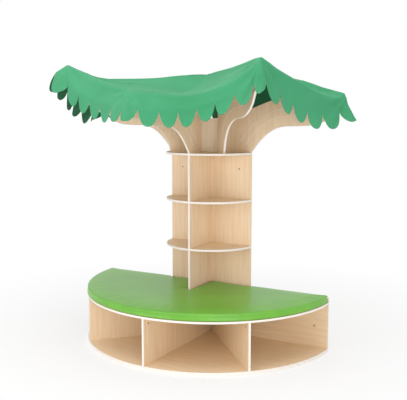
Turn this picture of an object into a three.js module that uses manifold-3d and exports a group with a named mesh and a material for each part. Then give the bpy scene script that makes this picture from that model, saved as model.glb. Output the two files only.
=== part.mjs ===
// Tree-shaped bookshelf with a half-round bench and a cloth crown.
// Millimetres, +Z up. The floor is z = 0, the front faces -Y and the flat back lies near y = 0.
// Angles of the radial panels are taken from the front (-Y), positive towards +X.
import * as THREE from "three";
import { mergeVertices } from "three/addons/utils/BufferGeometryUtils.js";
import Module from "manifold-3d";

// Panels and the strips on their edges
const PANEL = 12;
const BAND = 2;
const BAND_GAP = 0.3;
const BAND_SEAT = BAND + BAND_GAP;
const HALF_PANEL = PANEL / 2;
const QUARTER_TURN = Math.PI / 2;
const ARC_STEPS = 32;

// Bench
const BENCH_RADIUS = 800;
const BOTTOM_BOARD = 21;
const TOP_BOARD = 12;
const BAY_HEIGHT = 273;
const BACK_RIM = 24;
const DIVIDER_ANGLE_DEGREES = 43.8;
const SIDE_DIVIDER_INNER = 24;

// Cushion
const CUSHION_HEIGHT = 46;
const CUSHION_CROWN = 5;
const CUSHION_OVERHANG = 2;
const CUSHION_PULL = 4;
const CUSHION_ROLL = 9;
const CUSHION_CLEARANCE = 1.5;
const CUSHION_DOME = 70;

// Trunk
const TRUNK_HALF_WIDTH = 288;
const TRUNK_RADIUS = 290;
const SHELF_PITCH = 292;
const FIRST_SHELF_BOTTOM = 593;

// Crown
const BRANCH_ANGLE_DEGREES = 45;
const BRANCH_ANGLES = { left: -BRANCH_ANGLE_DEGREES, middle: 0, right: BRANCH_ANGLE_DEGREES };
const FOOT_INNER = 150;
const HIGH_FOOT_SETBACK = 20;
const LOW_TIP_RADIUS = 862;
const LOW_TOP = 344;
const HIGH_TIP_RADIUS = 884;
const HIGH_TIP_TOP = 504;
const TIP_CHAMFER = 6;
const BEZIER_STEPS = 10;

// Cloth
const CLOTH = 3;
const CLOTH_RIDE = 11;
const CLOTH_PEAK = 26;
const CLOTH_RISE = 482;
const CLOTH_MIDDLE_FORWARD = 60;
const CLOTH_PAST_TIP = 10;
const CLOTH_BEHIND = 1.5;
const DEEPEST_SAG = 108;
const WIDEST_FLARE = 108;
const REAR_SAG = 22;
const PETAL_BULGE = 6;
const SPAN_PETALS = [5, 6, 6, 5];
const REAR_PETALS = 12;
const HALF_FLAP = 40;
const HEM_DEPTH = 92;
const HEM_SAG = 95;
const PETAL_DROP = 84;
const PETAL_GAP_DEPTH = 7;

// Fasteners
const DOWEL_RADIUS = 3;
const DOWEL_LENGTH = 46;
const BORE_CLEARANCE = 0.3;
const CAM_RADIUS = 5;
const CAM_DEPTH = 8;
const CAM_PROUD = 0.4;
const PAD_WIDTH = 8;
const ROUND_SIDES = 24;
const OVERRUN = 1;

// Heights and planes that follow from the sizes above
const BENCH_BACK_FRONT = -HALF_PANEL;
const TRUNK_BACK_REAR = BENCH_BACK_FRONT;
const TRUNK_BACK_FRONT = TRUNK_BACK_REAR - PANEL;
const BAY_TOP = BOTTOM_BOARD + BAY_HEIGHT;
const SEAT_TOP = BAY_TOP + TOP_BOARD;
const SHELF_BOTTOMS = [FIRST_SHELF_BOTTOM, FIRST_SHELF_BOTTOM + SHELF_PITCH];
const TRUNK_TOP = FIRST_SHELF_BOTTOM + 2 * SHELF_PITCH;
const CROWN_FLOOR = TRUNK_TOP + PANEL;

const wasm = await Module();
wasm.setup();

// Materials
const maple = new THREE.MeshStandardMaterial({ color: 0xdfc09a, roughness: 0.55, metalness: 0 });
const whiteBand = new THREE.MeshStandardMaterial({ color: 0xf6efe6, roughness: 0.45, metalness: 0 });
const vinyl = new THREE.MeshStandardMaterial({ color: 0x7fbf55, roughness: 0.42, metalness: 0 });
const greenCloth = new THREE.MeshStandardMaterial({ color: 0x4fb884, roughness: 0.85, metalness: 0 });
const zinc = new THREE.MeshStandardMaterial({ color: 0x8d8f92, roughness: 0.4, metalness: 0.9 });
const beech = new THREE.MeshStandardMaterial({ color: 0xd8b384, roughness: 0.6, metalness: 0 });
const blackPad = new THREE.MeshStandardMaterial({ color: 0x2a2c2a, roughness: 0.95, metalness: 0 });

const bookshelf = new THREE.Group();

function addMesh(parent, name, geometry, material) {
  const mesh = new THREE.Mesh(geometry, material);
  mesh.name = name;
  parent.add(mesh);
  return mesh;
}

// A box given by its lowest and highest corners
function boxBetween(low, high) {
  const size = high.map((value, axis) => value - low[axis]);
  const geometry = new THREE.BoxGeometry(...size);
  geometry.translate(...low.map((value, axis) => value + size[axis] / 2));
  return geometry;
}

// A flat board: an outline in X and Y, raised to a height and extruded upwards
function board(points, bottom, thickness) {
  const geometry = new THREE.ExtrudeGeometry(new THREE.Shape(points), {
    depth: thickness,
    bevelEnabled: false,
  });
  geometry.translate(0, 0, bottom);
  return geometry;
}

// Points of an arc about the trunk's axis, from one angle to another, in radians from the front
function arcPoints(radius, from, to, steps) {
  return Array.from({ length: steps + 1 }, (_, i) => {
    const angle = from + ((to - from) * i) / steps;
    return new THREE.Vector2(radius * Math.sin(angle), -radius * Math.cos(angle));
  });
}

// Booleans
function solidFrom(geometry) {
  const bare = geometry.clone();
  bare.deleteAttribute("normal");
  bare.deleteAttribute("uv");
  const merged = mergeVertices(bare);
  return new wasm.Manifold(
    new wasm.Mesh({
      numProp: 3,
      vertProperties: new Float32Array(merged.attributes.position.array),
      triVerts: new Uint32Array(merged.index.array),
    }),
  );
}

function geometryFrom(solid) {
  const mesh = solid.getMesh();
  const geometry = new THREE.BufferGeometry();
  geometry.setAttribute("position", new THREE.BufferAttribute(mesh.vertProperties, mesh.numProp));
  geometry.setIndex(new THREE.BufferAttribute(mesh.triVerts, 1));
  geometry.computeVertexNormals();
  return geometry;
}

function cut(geometry, cutters) {
  return geometryFrom(
    cutters.reduce((body, cutter) => body.subtract(solidFrom(cutter)), solidFrom(geometry)),
  );
}

// A round bar along Z between two heights
function uprightBar(radius, x, y, bottom, top) {
  const geometry = new THREE.CylinderGeometry(radius, radius, top - bottom, ROUND_SIDES);
  geometry.rotateX(QUARTER_TURN);
  geometry.translate(x, y, (bottom + top) / 2);
  return geometry;
}

// A round disc whose axis is Y, between two values of y
function facingDisc(radius, x, z, fromY, toY) {
  const geometry = new THREE.CylinderGeometry(radius, radius, toY - fromY, ROUND_SIDES);
  geometry.translate(x, (fromY + toY) / 2, z);
  return geometry;
}

// Bench boards: half discs with a straight back. A back behind the axis adds two straight ends.
function frontSweep(radius, back) {
  return back < 0 ? Math.acos(-back / radius) : QUARTER_TURN;
}

function frontArc(radius, back) {
  const sweep = frontSweep(radius, back);
  const arc = arcPoints(radius, -sweep, sweep, 2 * ARC_STEPS);
  if (back <= 0) return arc;
  return [new THREE.Vector2(-radius, back), ...arc, new THREE.Vector2(radius, back)];
}

// A strip around the front of a half disc
function halfRing(outer, inner, back) {
  return [...frontArc(outer, back), ...frontArc(inner, back).reverse()];
}

function addBenchBoard(name, bandName, back, bottom, thickness) {
  const woodRadius = BENCH_RADIUS - BAND_SEAT;
  addMesh(bookshelf, name, board(frontArc(woodRadius, back), bottom, thickness), maple);
  const strip = halfRing(BENCH_RADIUS, BENCH_RADIUS - BAND, back);
  addMesh(bookshelf, bandName, board(strip, bottom, thickness), whiteBand);
}

addBenchBoard("bench_bottom_board", "bench_bottom_edge_band", HALF_PANEL, 0, BOTTOM_BOARD);
addBenchBoard("bench_top_board", "bench_top_edge_band", BENCH_BACK_FRONT, BAY_TOP, TOP_BOARD);

// Bench back panel, with the two cam fasteners that show in the outer bays
const BACK_CAM = { fromEnd: 87, height: 152 };
const backHalfWidth = BENCH_RADIUS - BAND_SEAT;
const backPanel = boxBetween(
  [-backHalfWidth, BENCH_BACK_FRONT, BOTTOM_BOARD],
  [backHalfWidth, HALF_PANEL, SEAT_TOP + BACK_RIM],
);

// A cam fastener sunk into a face that looks towards -Y
function camSeat(x, z, faceY) {
  const depth = faceY + CAM_DEPTH + BORE_CLEARANCE;
  return facingDisc(CAM_RADIUS + BORE_CLEARANCE, x, z, faceY - OVERRUN, depth);
}

function addFacingCam(name, x, z, faceY) {
  addMesh(bookshelf, name, facingDisc(CAM_RADIUS, x, z, faceY - CAM_PROUD, faceY + CAM_DEPTH), zinc);
}

const benchCams = [
  ["bench_back_cam_left", BACK_CAM.fromEnd - BENCH_RADIUS],
  ["bench_back_cam_right", BENCH_RADIUS - BACK_CAM.fromEnd],
];
addMesh(
  bookshelf,
  "bench_back_panel",
  cut(backPanel, benchCams.map(([, x]) => camSeat(x, BACK_CAM.height, BENCH_BACK_FRONT))),
  maple,
);
benchCams.forEach(([name, x]) => addFacingCam(name, x, BACK_CAM.height, BENCH_BACK_FRONT));

for (const [name, side] of [["left", -1], ["right", 1]]) {
  const inner = side * (BENCH_RADIUS - BAND);
  const outer = side * BENCH_RADIUS;
  const strip = boxBetween(
    [Math.min(inner, outer), BENCH_BACK_FRONT, BOTTOM_BOARD],
    [Math.max(inner, outer), HALF_PANEL, SEAT_TOP + BACK_RIM],
  );
  addMesh(bookshelf, `bench_back_end_band_${name}`, strip, whiteBand);
}

// Radial dividers, each built along -Y and turned about the trunk's axis
const DIVIDER_CAM = { fromFront: 48, fromTop: 36 };

function addDivider(name, degrees, innerRadius) {
  const turned = new THREE.Group();
  turned.rotation.z = THREE.MathUtils.degToRad(degrees);
  bookshelf.add(turned);
  const front = -(BENCH_RADIUS - BAND_SEAT);
  const panel = boxBetween([-HALF_PANEL, front, BOTTOM_BOARD], [HALF_PANEL, -innerRadius, BAY_TOP]);
  const camY = front + DIVIDER_CAM.fromFront;
  const camZ = BAY_TOP - DIVIDER_CAM.fromTop;
  const face = degrees > 0 ? -HALF_PANEL : HALF_PANEL;
  const inward = -Math.sign(face);
  const place = (radius, from, to) => {
    const disc = new THREE.CylinderGeometry(radius, radius, Math.abs(to - from), ROUND_SIDES);
    disc.rotateZ(QUARTER_TURN);
    disc.translate((from + to) / 2, camY, camZ);
    return disc;
  };
  const seat = place(
    CAM_RADIUS + BORE_CLEARANCE,
    face - inward * OVERRUN,
    face + inward * (CAM_DEPTH + BORE_CLEARANCE),
  );
  addMesh(turned, `divider_${name}`, cut(panel, [seat]), maple);
  const cam = place(CAM_RADIUS, face - inward * CAM_PROUD, face + inward * CAM_DEPTH);
  addMesh(turned, `divider_cam_${name}`, cam, zinc);
  const strip = boxBetween(
    [-HALF_PANEL, -BENCH_RADIUS + BAND_GAP, BOTTOM_BOARD],
    [HALF_PANEL, -BENCH_RADIUS + BAND_GAP + BAND, BAY_TOP],
  );
  addMesh(turned, `divider_edge_band_${name}`, strip, whiteBand);
}

addDivider("left", -DIVIDER_ANGLE_DEGREES, SIDE_DIVIDER_INNER);
addDivider("middle", 0, BAND_GAP - BENCH_BACK_FRONT);
addDivider("right", DIVIDER_ANGLE_DEGREES, SIDE_DIVIDER_INNER);

// Cushion: a stack of outlines, each one drawn in from the seat's full outline by an inset.
// The outline goes round the half disc and into the slot that the trunk stands in.
function cushionOutline(inset) {
  const radius = BENCH_RADIUS + CUSHION_OVERHANG - inset;
  const back = BENCH_BACK_FRONT - BAND_GAP - inset;
  const slotHalfWidth = TRUNK_HALF_WIDTH + CUSHION_CLEARANCE + inset;
  const slotFront = TRUNK_BACK_FRONT - CUSHION_CLEARANCE - inset;
  const finHalfWidth = HALF_PANEL + CUSHION_CLEARANCE + inset;
  const finFront = -TRUNK_RADIUS - CUSHION_CLEARANCE - inset;
  const sweep = Math.acos(-back / radius);
  return [
    ...arcPoints(radius, -sweep, sweep, 2 * ARC_STEPS),
    new THREE.Vector2(slotHalfWidth, back),
    new THREE.Vector2(slotHalfWidth, slotFront),
    new THREE.Vector2(finHalfWidth, slotFront),
    new THREE.Vector2(finHalfWidth, finFront),
    new THREE.Vector2(-finHalfWidth, finFront),
    new THREE.Vector2(-finHalfWidth, slotFront),
    new THREE.Vector2(-slotHalfWidth, slotFront),
    new THREE.Vector2(-slotHalfWidth, back),
  ];
}

// Joins a stack of like outlines into one closed body
function loft(layers) {
  const count = layers[0].outline.length;
  const positions = layers.flatMap(({ outline, z }) => outline.flatMap((p) => [p.x, p.y, z]));
  const index = [];
  for (let layer = 0; layer + 1 < layers.length; layer += 1) {
    for (let i = 0; i < count; i += 1) {
      const next = (i + 1) % count;
      const a = layer * count + i;
      const b = layer * count + next;
      index.push(a, b, b + count, a, b + count, a + count);
    }
  }
  const capAt = (layer, flipped) => {
    const faces = THREE.ShapeUtils.triangulateShape(layers[layer].outline, []);
    for (const [a, b, c] of faces) {
      const corners = flipped ? [c, b, a] : [a, b, c];
      index.push(...corners.map((corner) => corner + layer * count));
    }
  };
  capAt(0, true);
  capAt(layers.length - 1, false);
  const geometry = new THREE.BufferGeometry();
  geometry.setAttribute("position", new THREE.Float32BufferAttribute(positions, 3));
  geometry.setIndex(index);
  geometry.computeVertexNormals();
  return geometry;
}

// Layers of the cushion from its underside up. Each is drawn in by shares of the roll, the pull
// and the dome, and lies at shares of the side's height and of the crown's.
const CUSHION_LAYER_SHARES = [
  { roll: 0.45, pull: 0, dome: 0, side: 0, crown: 0 },
  { roll: 0, pull: 0, dome: 0, side: 0.14, crown: 0 },
  { roll: 0, pull: 1, dome: 0, side: 0.5, crown: 0 },
  { roll: 0, pull: 0, dome: 0, side: 0.86, crown: 0 },
  { roll: 0.35, pull: 0, dome: 0, side: 0.97, crown: 0 },
  { roll: 1, pull: 0, dome: 0, side: 1, crown: 0 },
  { roll: 0, pull: 0, dome: 0.4, side: 1, crown: 0.65 },
  { roll: 0, pull: 0, dome: 1, side: 1, crown: 1 },
];
const cushionBottom = SEAT_TOP + BAND_GAP;
const cushionLayers = CUSHION_LAYER_SHARES.map(({ roll, pull, dome, side, crown }) => ({
  outline: cushionOutline(roll * CUSHION_ROLL + pull * CUSHION_PULL + dome * CUSHION_DOME),
  z: cushionBottom + side * CUSHION_HEIGHT + crown * CUSHION_CROWN,
}));
addMesh(bookshelf, "seat_cushion", loft(cushionLayers), vinyl);

// Trunk
const TRUNK_CAM = { fromEdge: 83, fromTop: 91 };
const trunkBack = boxBetween(
  [-TRUNK_HALF_WIDTH, TRUNK_BACK_FRONT, SEAT_TOP],
  [TRUNK_HALF_WIDTH, TRUNK_BACK_REAR, TRUNK_TOP],
);
const trunkCams = [
  ["trunk_back_cam_left", TRUNK_CAM.fromEdge - TRUNK_HALF_WIDTH],
  ["trunk_back_cam_right", TRUNK_HALF_WIDTH - TRUNK_CAM.fromEdge],
];
const trunkCamZ = TRUNK_TOP - TRUNK_CAM.fromTop;

// Dowels stand through the crown shelf, in the trunk below and the crown panels above
const dowelBottom = CROWN_FLOOR - PANEL / 2 - DOWEL_LENGTH / 2;
const dowelTop = dowelBottom + DOWEL_LENGTH;
const DOWEL_FROM_EDGE = 73;
const rearDowelX = TRUNK_HALF_WIDTH - DOWEL_FROM_EDGE;
const branchDowelRadius = TRUNK_RADIUS - DOWEL_FROM_EDGE;
const rearY = (TRUNK_BACK_FRONT + TRUNK_BACK_REAR) / 2;

function dowelBore(x, y, bottom = dowelBottom) {
  const radius = DOWEL_RADIUS + BORE_CLEARANCE;
  return uprightBar(radius, x, y, bottom - BORE_CLEARANCE, dowelTop + BORE_CLEARANCE);
}

const rearDowels = [
  ["crown_dowel_rear_left", -rearDowelX],
  ["crown_dowel_rear_right", rearDowelX],
];
addMesh(
  bookshelf,
  "trunk_back_panel",
  cut(trunkBack, [
    ...trunkCams.map(([, x]) => camSeat(x, trunkCamZ, TRUNK_BACK_FRONT)),
    ...rearDowels.map(([, x]) => dowelBore(x, rearY)),
  ]),
  maple,
);
trunkCams.forEach(([name, x]) => addFacingCam(name, x, trunkCamZ, TRUNK_BACK_FRONT));

const finFront = -(TRUNK_RADIUS - BAND_SEAT);
const finBack = TRUNK_BACK_FRONT - BAND_GAP;
const fin = boxBetween([-HALF_PANEL, finFront, SEAT_TOP], [HALF_PANEL, finBack, TRUNK_TOP]);
addMesh(bookshelf, "trunk_fin", cut(fin, [dowelBore(0, -branchDowelRadius)]), maple);
const finStrip = boxBetween(
  [-HALF_PANEL, -TRUNK_RADIUS + BAND_GAP, SEAT_TOP],
  [HALF_PANEL, -TRUNK_RADIUS + BAND_GAP + BAND, TRUNK_TOP],
);
addMesh(bookshelf, "trunk_fin_edge_band", finStrip, whiteBand);

// Quarter shelves on both sides of the fin
function quarterShelf(side, bottom) {
  const radius = TRUNK_RADIUS - BAND_SEAT;
  const near = Math.asin(HALF_PANEL / radius);
  const far = Math.acos(-TRUNK_BACK_FRONT / radius);
  const points = [
    new THREE.Vector2(HALF_PANEL, TRUNK_BACK_FRONT),
    ...arcPoints(radius, near, far, ARC_STEPS),
  ];
  return board(points.map((p) => new THREE.Vector2(side * p.x, p.y)), bottom, PANEL);
}

function quarterStrip(side, bottom) {
  const inner = TRUNK_RADIUS - BAND;
  const near = Math.asin((HALF_PANEL + BAND_GAP) / inner);
  const far = Math.acos((BAND_GAP - TRUNK_BACK_FRONT) / inner);
  const points = [
    ...arcPoints(TRUNK_RADIUS, near, far, ARC_STEPS),
    ...arcPoints(inner, far, near, ARC_STEPS),
  ];
  return board(points.map((p) => new THREE.Vector2(side * p.x, p.y)), bottom, PANEL);
}

SHELF_BOTTOMS.forEach((bottom, level) => {
  const levelName = ["lower", "upper"][level];
  for (const [sideName, side] of [["left", -1], ["right", 1]]) {
    addMesh(bookshelf, `shelf_${levelName}_${sideName}`, quarterShelf(side, bottom), maple);
    const strip = quarterStrip(side, bottom);
    addMesh(bookshelf, `shelf_edge_band_${levelName}_${sideName}`, strip, whiteBand);
  }
});

// Crown shelf: a half disc that lies on the trunk. The side branches' dowels stop inside it.
const blindDowelBottom = TRUNK_TOP + PANEL / 4;
const branchDowels = Object.entries(BRANCH_ANGLES).map(([name, degrees]) => {
  const angle = THREE.MathUtils.degToRad(degrees);
  return {
    name,
    x: branchDowelRadius * Math.sin(angle),
    y: -branchDowelRadius * Math.cos(angle),
    bottom: degrees === 0 ? dowelBottom : blindDowelBottom,
  };
});
const crownBores = [
  ...branchDowels.map(({ x, y, bottom }) => dowelBore(x, y, bottom)),
  ...rearDowels.map(([, x]) => dowelBore(x, rearY)),
];
const crownShelfOutline = frontArc(TRUNK_RADIUS - BAND_SEAT, TRUNK_BACK_REAR);
addMesh(
  bookshelf,
  "crown_shelf",
  cut(board(crownShelfOutline, TRUNK_TOP, PANEL), crownBores),
  maple,
);
const crownStrip = halfRing(TRUNK_RADIUS, TRUNK_RADIUS - BAND, TRUNK_BACK_REAR);
addMesh(bookshelf, "crown_shelf_edge_band", board(crownStrip, TRUNK_TOP, PANEL), whiteBand);

rearDowels.forEach(([name, x]) => {
  addMesh(bookshelf, name, uprightBar(DOWEL_RADIUS, x, rearY, dowelBottom, dowelTop), beech);
});
branchDowels.forEach(({ name, x, y, bottom }) => {
  addMesh(bookshelf, `crown_dowel_${name}`, uprightBar(DOWEL_RADIUS, x, y, bottom, dowelTop), beech);
});

// Branch outlines lie in a plane of radius and height above the crown shelf. Each table is a
// chain of cubic curves, end point, two handles, end point and so on, chosen by hand as shares
// of the way from the foot to the tip and of the tip's height.
const FOOT_OUTER_LOW = TRUNK_RADIUS - BAND;
const FOOT_OUTER_HIGH = TRUNK_RADIUS - HIGH_FOOT_SETBACK;
const LOW_EDGE_SHARES = [
  [0, 0], [0.073, 0.16], [0.195, 0.465],
  [0.404, 0.474], [0.474, 0.474], [0.526, 0.474],
  [0.578, 0.48], [0.744, 0.485], [0.848, 0.552],
  [0.906, 0.727], [0.944, 0.843], [1, 0.901],
  [1, 1],
];
const VALLEY_SHARES = [
  [0.65, 1], [0.545, 0.994], [0.441, 0.887],
  [0.31, 0.76], [0.197, 0.67], [0.128, 0.617],
  [0, 0.612],
];
const HIGH_EDGE_SHARES = [
  [0, 0], [0.024, 0.198], [0.13, 0.413],
  [0.44, 0.421], [0.619, 0.425], [0.774, 0.496],
  [0.844, 0.621], [0.909, 0.734], [1, 0.873],
  [1, 0.988],
];
const HIGH_TOP_SHARES = [
  [0.968, 1], [0.915, 0.915], [0.831, 0.845],
  [0.64, 0.84], [0.409, 0.83], [0.245, 0.84],
  [0, 0.84],
];

function chainOf(shares, foot, tip, height) {
  const points = shares.map(([along, z]) => new THREE.Vector2(foot + along * (tip - foot), z * height));
  const line = [points[0]];
  for (let i = 0; i + 3 < points.length; i += 3) {
    const curve = new THREE.CubicBezierCurve(...points.slice(i, i + 4));
    line.push(...curve.getPoints(BEZIER_STEPS).slice(1));
  }
  return line;
}

const lowEdge = chainOf(LOW_EDGE_SHARES, FOOT_OUTER_LOW, LOW_TIP_RADIUS, LOW_TOP);
const lowTop = [new THREE.Vector2(FOOT_INNER, LOW_TOP)];
const highEdge = chainOf(HIGH_EDGE_SHARES, FOOT_OUTER_HIGH, HIGH_TIP_RADIUS, HIGH_TIP_TOP);
const highTop = [
  new THREE.Vector2(HIGH_TIP_RADIUS - BAND_SEAT - TIP_CHAMFER, HIGH_TIP_TOP),
  ...chainOf(HIGH_TOP_SHARES, FOOT_INNER, HIGH_TIP_RADIUS, HIGH_TIP_TOP),
];

// Moves an open line of points into the wood by a distance; its ends move along X only
function insetLine(points, distance) {
  return points.map((point, i) => {
    if (i === 0 || i === points.length - 1) {
      return new THREE.Vector2(point.x - distance, point.y);
    }
    const along = points[i + 1].clone().sub(points[i - 1]).normalize();
    return new THREE.Vector2(point.x - along.y * distance, point.y + along.x * distance);
  });
}

// Stands an outline of radius and height up as a panel, in a plane that faces along X.
// The outline's radius runs towards -Y, so the panel's middle plane holds the trunk's axis.
function standingPanel(points, thickness) {
  const geometry = new THREE.ExtrudeGeometry(new THREE.Shape(points), {
    depth: thickness,
    bevelEnabled: false,
  });
  geometry.rotateX(QUARTER_TURN);
  geometry.rotateZ(-QUARTER_TURN);
  geometry.translate(thickness / 2, 0, CROWN_FLOOR);
  return geometry;
}

function bandOutline(edge) {
  return [...edge, ...insetLine(edge, BAND).reverse()];
}

const branches = {};

function addBranch(name, degrees, edge, top) {
  const turned = new THREE.Group();
  turned.rotation.z = THREE.MathUtils.degToRad(degrees);
  bookshelf.add(turned);
  const outline = [new THREE.Vector2(FOOT_INNER, 0), ...insetLine(edge, BAND_SEAT), ...top];
  const panel = cut(standingPanel(outline, PANEL), [dowelBore(0, -branchDowelRadius)]);
  addMesh(turned, `branch_${name}`, panel, maple);
  addMesh(turned, `branch_edge_band_${name}`, standingPanel(bandOutline(edge), PANEL), whiteBand);
  branches[name] = turned;
}

addBranch("middle", BRANCH_ANGLES.middle, lowEdge, lowTop);
addBranch("left", BRANCH_ANGLES.left, highEdge, highTop);
addBranch("right", BRANCH_ANGLES.right, highEdge, highTop);

// Rear crown panel: two low arms in one board, with a valley between them
const valleyTop = chainOf(VALLEY_SHARES, 0, LOW_TIP_RADIUS, LOW_TOP);
const rearLower = insetLine(lowEdge, BAND_SEAT);
const rearHalf = [...rearLower, ...valleyTop];
const rearOutline = [
  ...rearHalf,
  ...[...rearHalf]
    .reverse()
    .slice(1)
    .map((p) => new THREE.Vector2(-p.x, p.y)),
];

// Stands an outline of X and height up against the trunk's rear plane
function rearStanding(points) {
  const geometry = new THREE.ExtrudeGeometry(new THREE.Shape(points), {
    depth: PANEL,
    bevelEnabled: false,
  });
  geometry.rotateX(QUARTER_TURN);
  geometry.translate(0, TRUNK_BACK_REAR, CROWN_FLOOR);
  return geometry;
}

const rearBores = rearDowels.map(([, x]) => dowelBore(x, rearY));
addMesh(bookshelf, "crown_rear_panel", cut(rearStanding(rearOutline), rearBores), maple);
const armStrip = bandOutline(lowEdge);
addMesh(bookshelf, "rear_arm_edge_band_right", rearStanding(armStrip), whiteBand);
const mirroredStrip = armStrip.map((p) => new THREE.Vector2(-p.x, p.y));
addMesh(bookshelf, "rear_arm_edge_band_left", rearStanding(mirroredStrip), whiteBand);

// Cloth crown. Its ridges run from a middle point to the five tips, and it hangs between them.
// A ring lies at a share of the way from the middle (0) to the rim (1).
const RING_SHARES = [0.16, 0.38, 0.7, 0.86, 1];
const RIM = RING_SHARES.length - 1;
const rearClothY = TRUNK_BACK_REAR + CLOTH_BEHIND + CLOTH;
const lowRim = CROWN_FLOOR + LOW_TOP + CLOTH_RIDE;
const highRim = CROWN_FLOOR + HIGH_TIP_TOP + CLOTH_PEAK;
const clothMiddle = new THREE.Vector3(0, -CLOTH_MIDDLE_FORWARD, CROWN_FLOOR + CLOTH_RISE);

// Heights of the ridges on the rings inside the rim, as shares of the middle's height
const RIDGE_SHARES = {
  rear: [0.985, 0.965, 0.9, 0.8],
  left: [0.989, 0.948, 0.933, 0.985],
  middle: [0.851, 0.745, 0.738, 0.738],
  right: [1.015, 1.025, 1.056, 1.079],
  rearMiddle: [0.996, 0.992, 0.985, 0.98],
};
const REAR_MIDDLE_RIM_SHARE = 0.975;

function ridge(name, rim) {
  return [...RIDGE_SHARES[name].map((share) => CROWN_FLOOR + share * CLOTH_RISE), rim];
}

const ridges = {
  rear: ridge("rear", lowRim),
  left: ridge("left", highRim),
  middle: ridge("middle", lowRim),
  right: ridge("right", highRim),
  rearMiddle: ridge("rearMiddle", CROWN_FLOOR + REAR_MIDDLE_RIM_SHARE * CLOTH_RISE),
};
const lowReach = LOW_TIP_RADIUS + CLOTH_PAST_TIP;
const highReach = HIGH_TIP_RADIUS + CLOTH_PAST_TIP;

function planAt(radius, degrees) {
  const angle = THREE.MathUtils.degToRad(degrees);
  return new THREE.Vector2(radius * Math.sin(angle), -radius * Math.cos(angle));
}

// The hem leans out by these shares of the widest flare, at the notches and at the petals' ends
const FLARE_SHARES = {
  rear: [0.16, 0.64],
  left: [0.62, 1.2],
  middle: [0.7, 0.9],
  right: [0, 0.1],
};
const SPAN_FLARE_SHARES = [
  [0.9, 1.15],
  [0.5, 0.55],
  [0.4, 0.45],
  [-0.15, -0.2],
];

// The notches between the petals lie this far under the rim at the tips, as shares of the hem's depth
const NOTCH_DROP_SHARES = { rear: 0.685, left: 0.49, middle: 0.707, right: 1 };
const SPAN_HEM_SAG_SHARES = [0.6, 0.8, 1, 1];

function tip(name, plan, heights) {
  const flare = FLARE_SHARES[name].map((share) => share * WIDEST_FLARE);
  return { plan, heights, flare, notch: heights[RIM] - NOTCH_DROP_SHARES[name] * HEM_DEPTH };
}

const tips = [
  tip("rear", new THREE.Vector2(-lowReach, TRUNK_BACK_FRONT), ridges.rear),
  tip("left", planAt(highReach, BRANCH_ANGLES.left), ridges.left),
  tip("middle", planAt(lowReach, BRANCH_ANGLES.middle), ridges.middle),
  tip("right", planAt(highReach, BRANCH_ANGLES.right), ridges.right),
  tip("rear", new THREE.Vector2(lowReach, TRUNK_BACK_FRONT), ridges.rear),
];
const SPAN_SAG_SHARES = [0.556, 0.204, 1, 0.45];

// How steeply the rim, and the line of the notches, fall from the first and towards the second
// tip of a span
const SAG_POWERS = [
  [1, 1],
  [1, 1],
  [1.1, 0.75],
  [1.2, 0.5],
];
const NOTCH_SAG_POWERS = [
  [0.6, 2.2],
  [1, 1],
  [1, 1],
  [1.3, 0.8],
];
const INWARD_SAG_SHARE = 0.15;
const REAR_FALL_POWER = 1.6;

// Columns of one petal, from its notch: how far along it and how deep its edge hangs there.
// A flap hangs over each tip, with its middle on the tip.
const PETAL_COLUMNS = [
  [0, 0],
  [0.2, 0.7],
  [0.5, 1],
  [0.8, 0.7],
];
const FLAP_SIDE = { along: 0.6, depth: 0.7 };
const REAR_FLARE_REACH_SHARE = 0.05;

// Rises from 0 to 1 and falls to 0 again between the tips of a span
function hang(share, [rise, fall] = [1, 1]) {
  const peak = rise / (rise + fall);
  return (share / peak) ** rise * ((1 - share) / (1 - peak)) ** fall;
}

function lerp(from, to, share) {
  return from + (to - from) * share;
}

// The hem's columns. Those on the tips and between two petals run on up to the middle.
const columns = [];

function addColumns(petals, length, details) {
  const half = HALF_FLAP / length;
  const pitch = (1 - 2 * half) / petals;
  columns.push({ ...details, share: 0, depth: 1, runsUp: true });
  columns.push({ ...details, share: FLAP_SIDE.along * half, depth: FLAP_SIDE.depth });
  for (let petal = 0; petal < petals; petal += 1) {
    PETAL_COLUMNS.forEach(([along, depth]) => {
      const share = half + (petal + along) * pitch;
      columns.push({ ...details, share, depth, runsUp: petal > 0 && depth === 0 });
    });
  }
  columns.push({ ...details, share: 1 - half, depth: 0 });
  columns.push({ ...details, share: 1 - FLAP_SIDE.along * half, depth: FLAP_SIDE.depth });
}

for (let span = 0; span + 1 < tips.length; span += 1) {
  const length = tips[span].plan.distanceTo(tips[span + 1].plan);
  addColumns(SPAN_PETALS[span], length, { span });
}
columns.push({ span: tips.length - 2, share: 1, depth: 1, runsUp: true });
addColumns(REAR_PETALS, 2 * lowReach, { rear: true });
columns.push({ rear: true, share: 1, depth: 1, runsUp: true });

function spanPoint({ span, share }, ring) {
  const ringShare = RING_SHARES[ring];
  const middle = new THREE.Vector2(clothMiddle.x, clothMiddle.y);
  const from = middle.clone().lerp(tips[span].plan, ringShare);
  const to = middle.clone().lerp(tips[span + 1].plan, ringShare);
  const sag = SPAN_SAG_SHARES[span] * DEEPEST_SAG * ringShare * hang(share, SAG_POWERS[span]);
  const plan = from.lerp(to, share);
  const inward = middle.clone().sub(plan).setLength(INWARD_SAG_SHARE * sag);
  plan.add(inward);
  const z = lerp(tips[span].heights[ring], tips[span + 1].heights[ring], share) - sag;
  return new THREE.Vector3(plan.x, plan.y, z);
}

function rearPoint({ share }, ring) {
  const ringShare = RING_SHARES[ring];
  const offMiddle = Math.abs(2 * share - 1);
  const rise = 1 - offMiddle ** REAR_FALL_POWER;
  return new THREE.Vector3(
    lerp(lowReach, -lowReach, share) * ringShare,
    lerp(clothMiddle.y, rearClothY, ringShare),
    lerp(ridges.rear[ring], ridges.rearMiddle[ring], rise),
  );
}

function topPoint(column, ring) {
  return column.rear ? rearPoint(column, ring) : spanPoint(column, ring);
}

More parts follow.
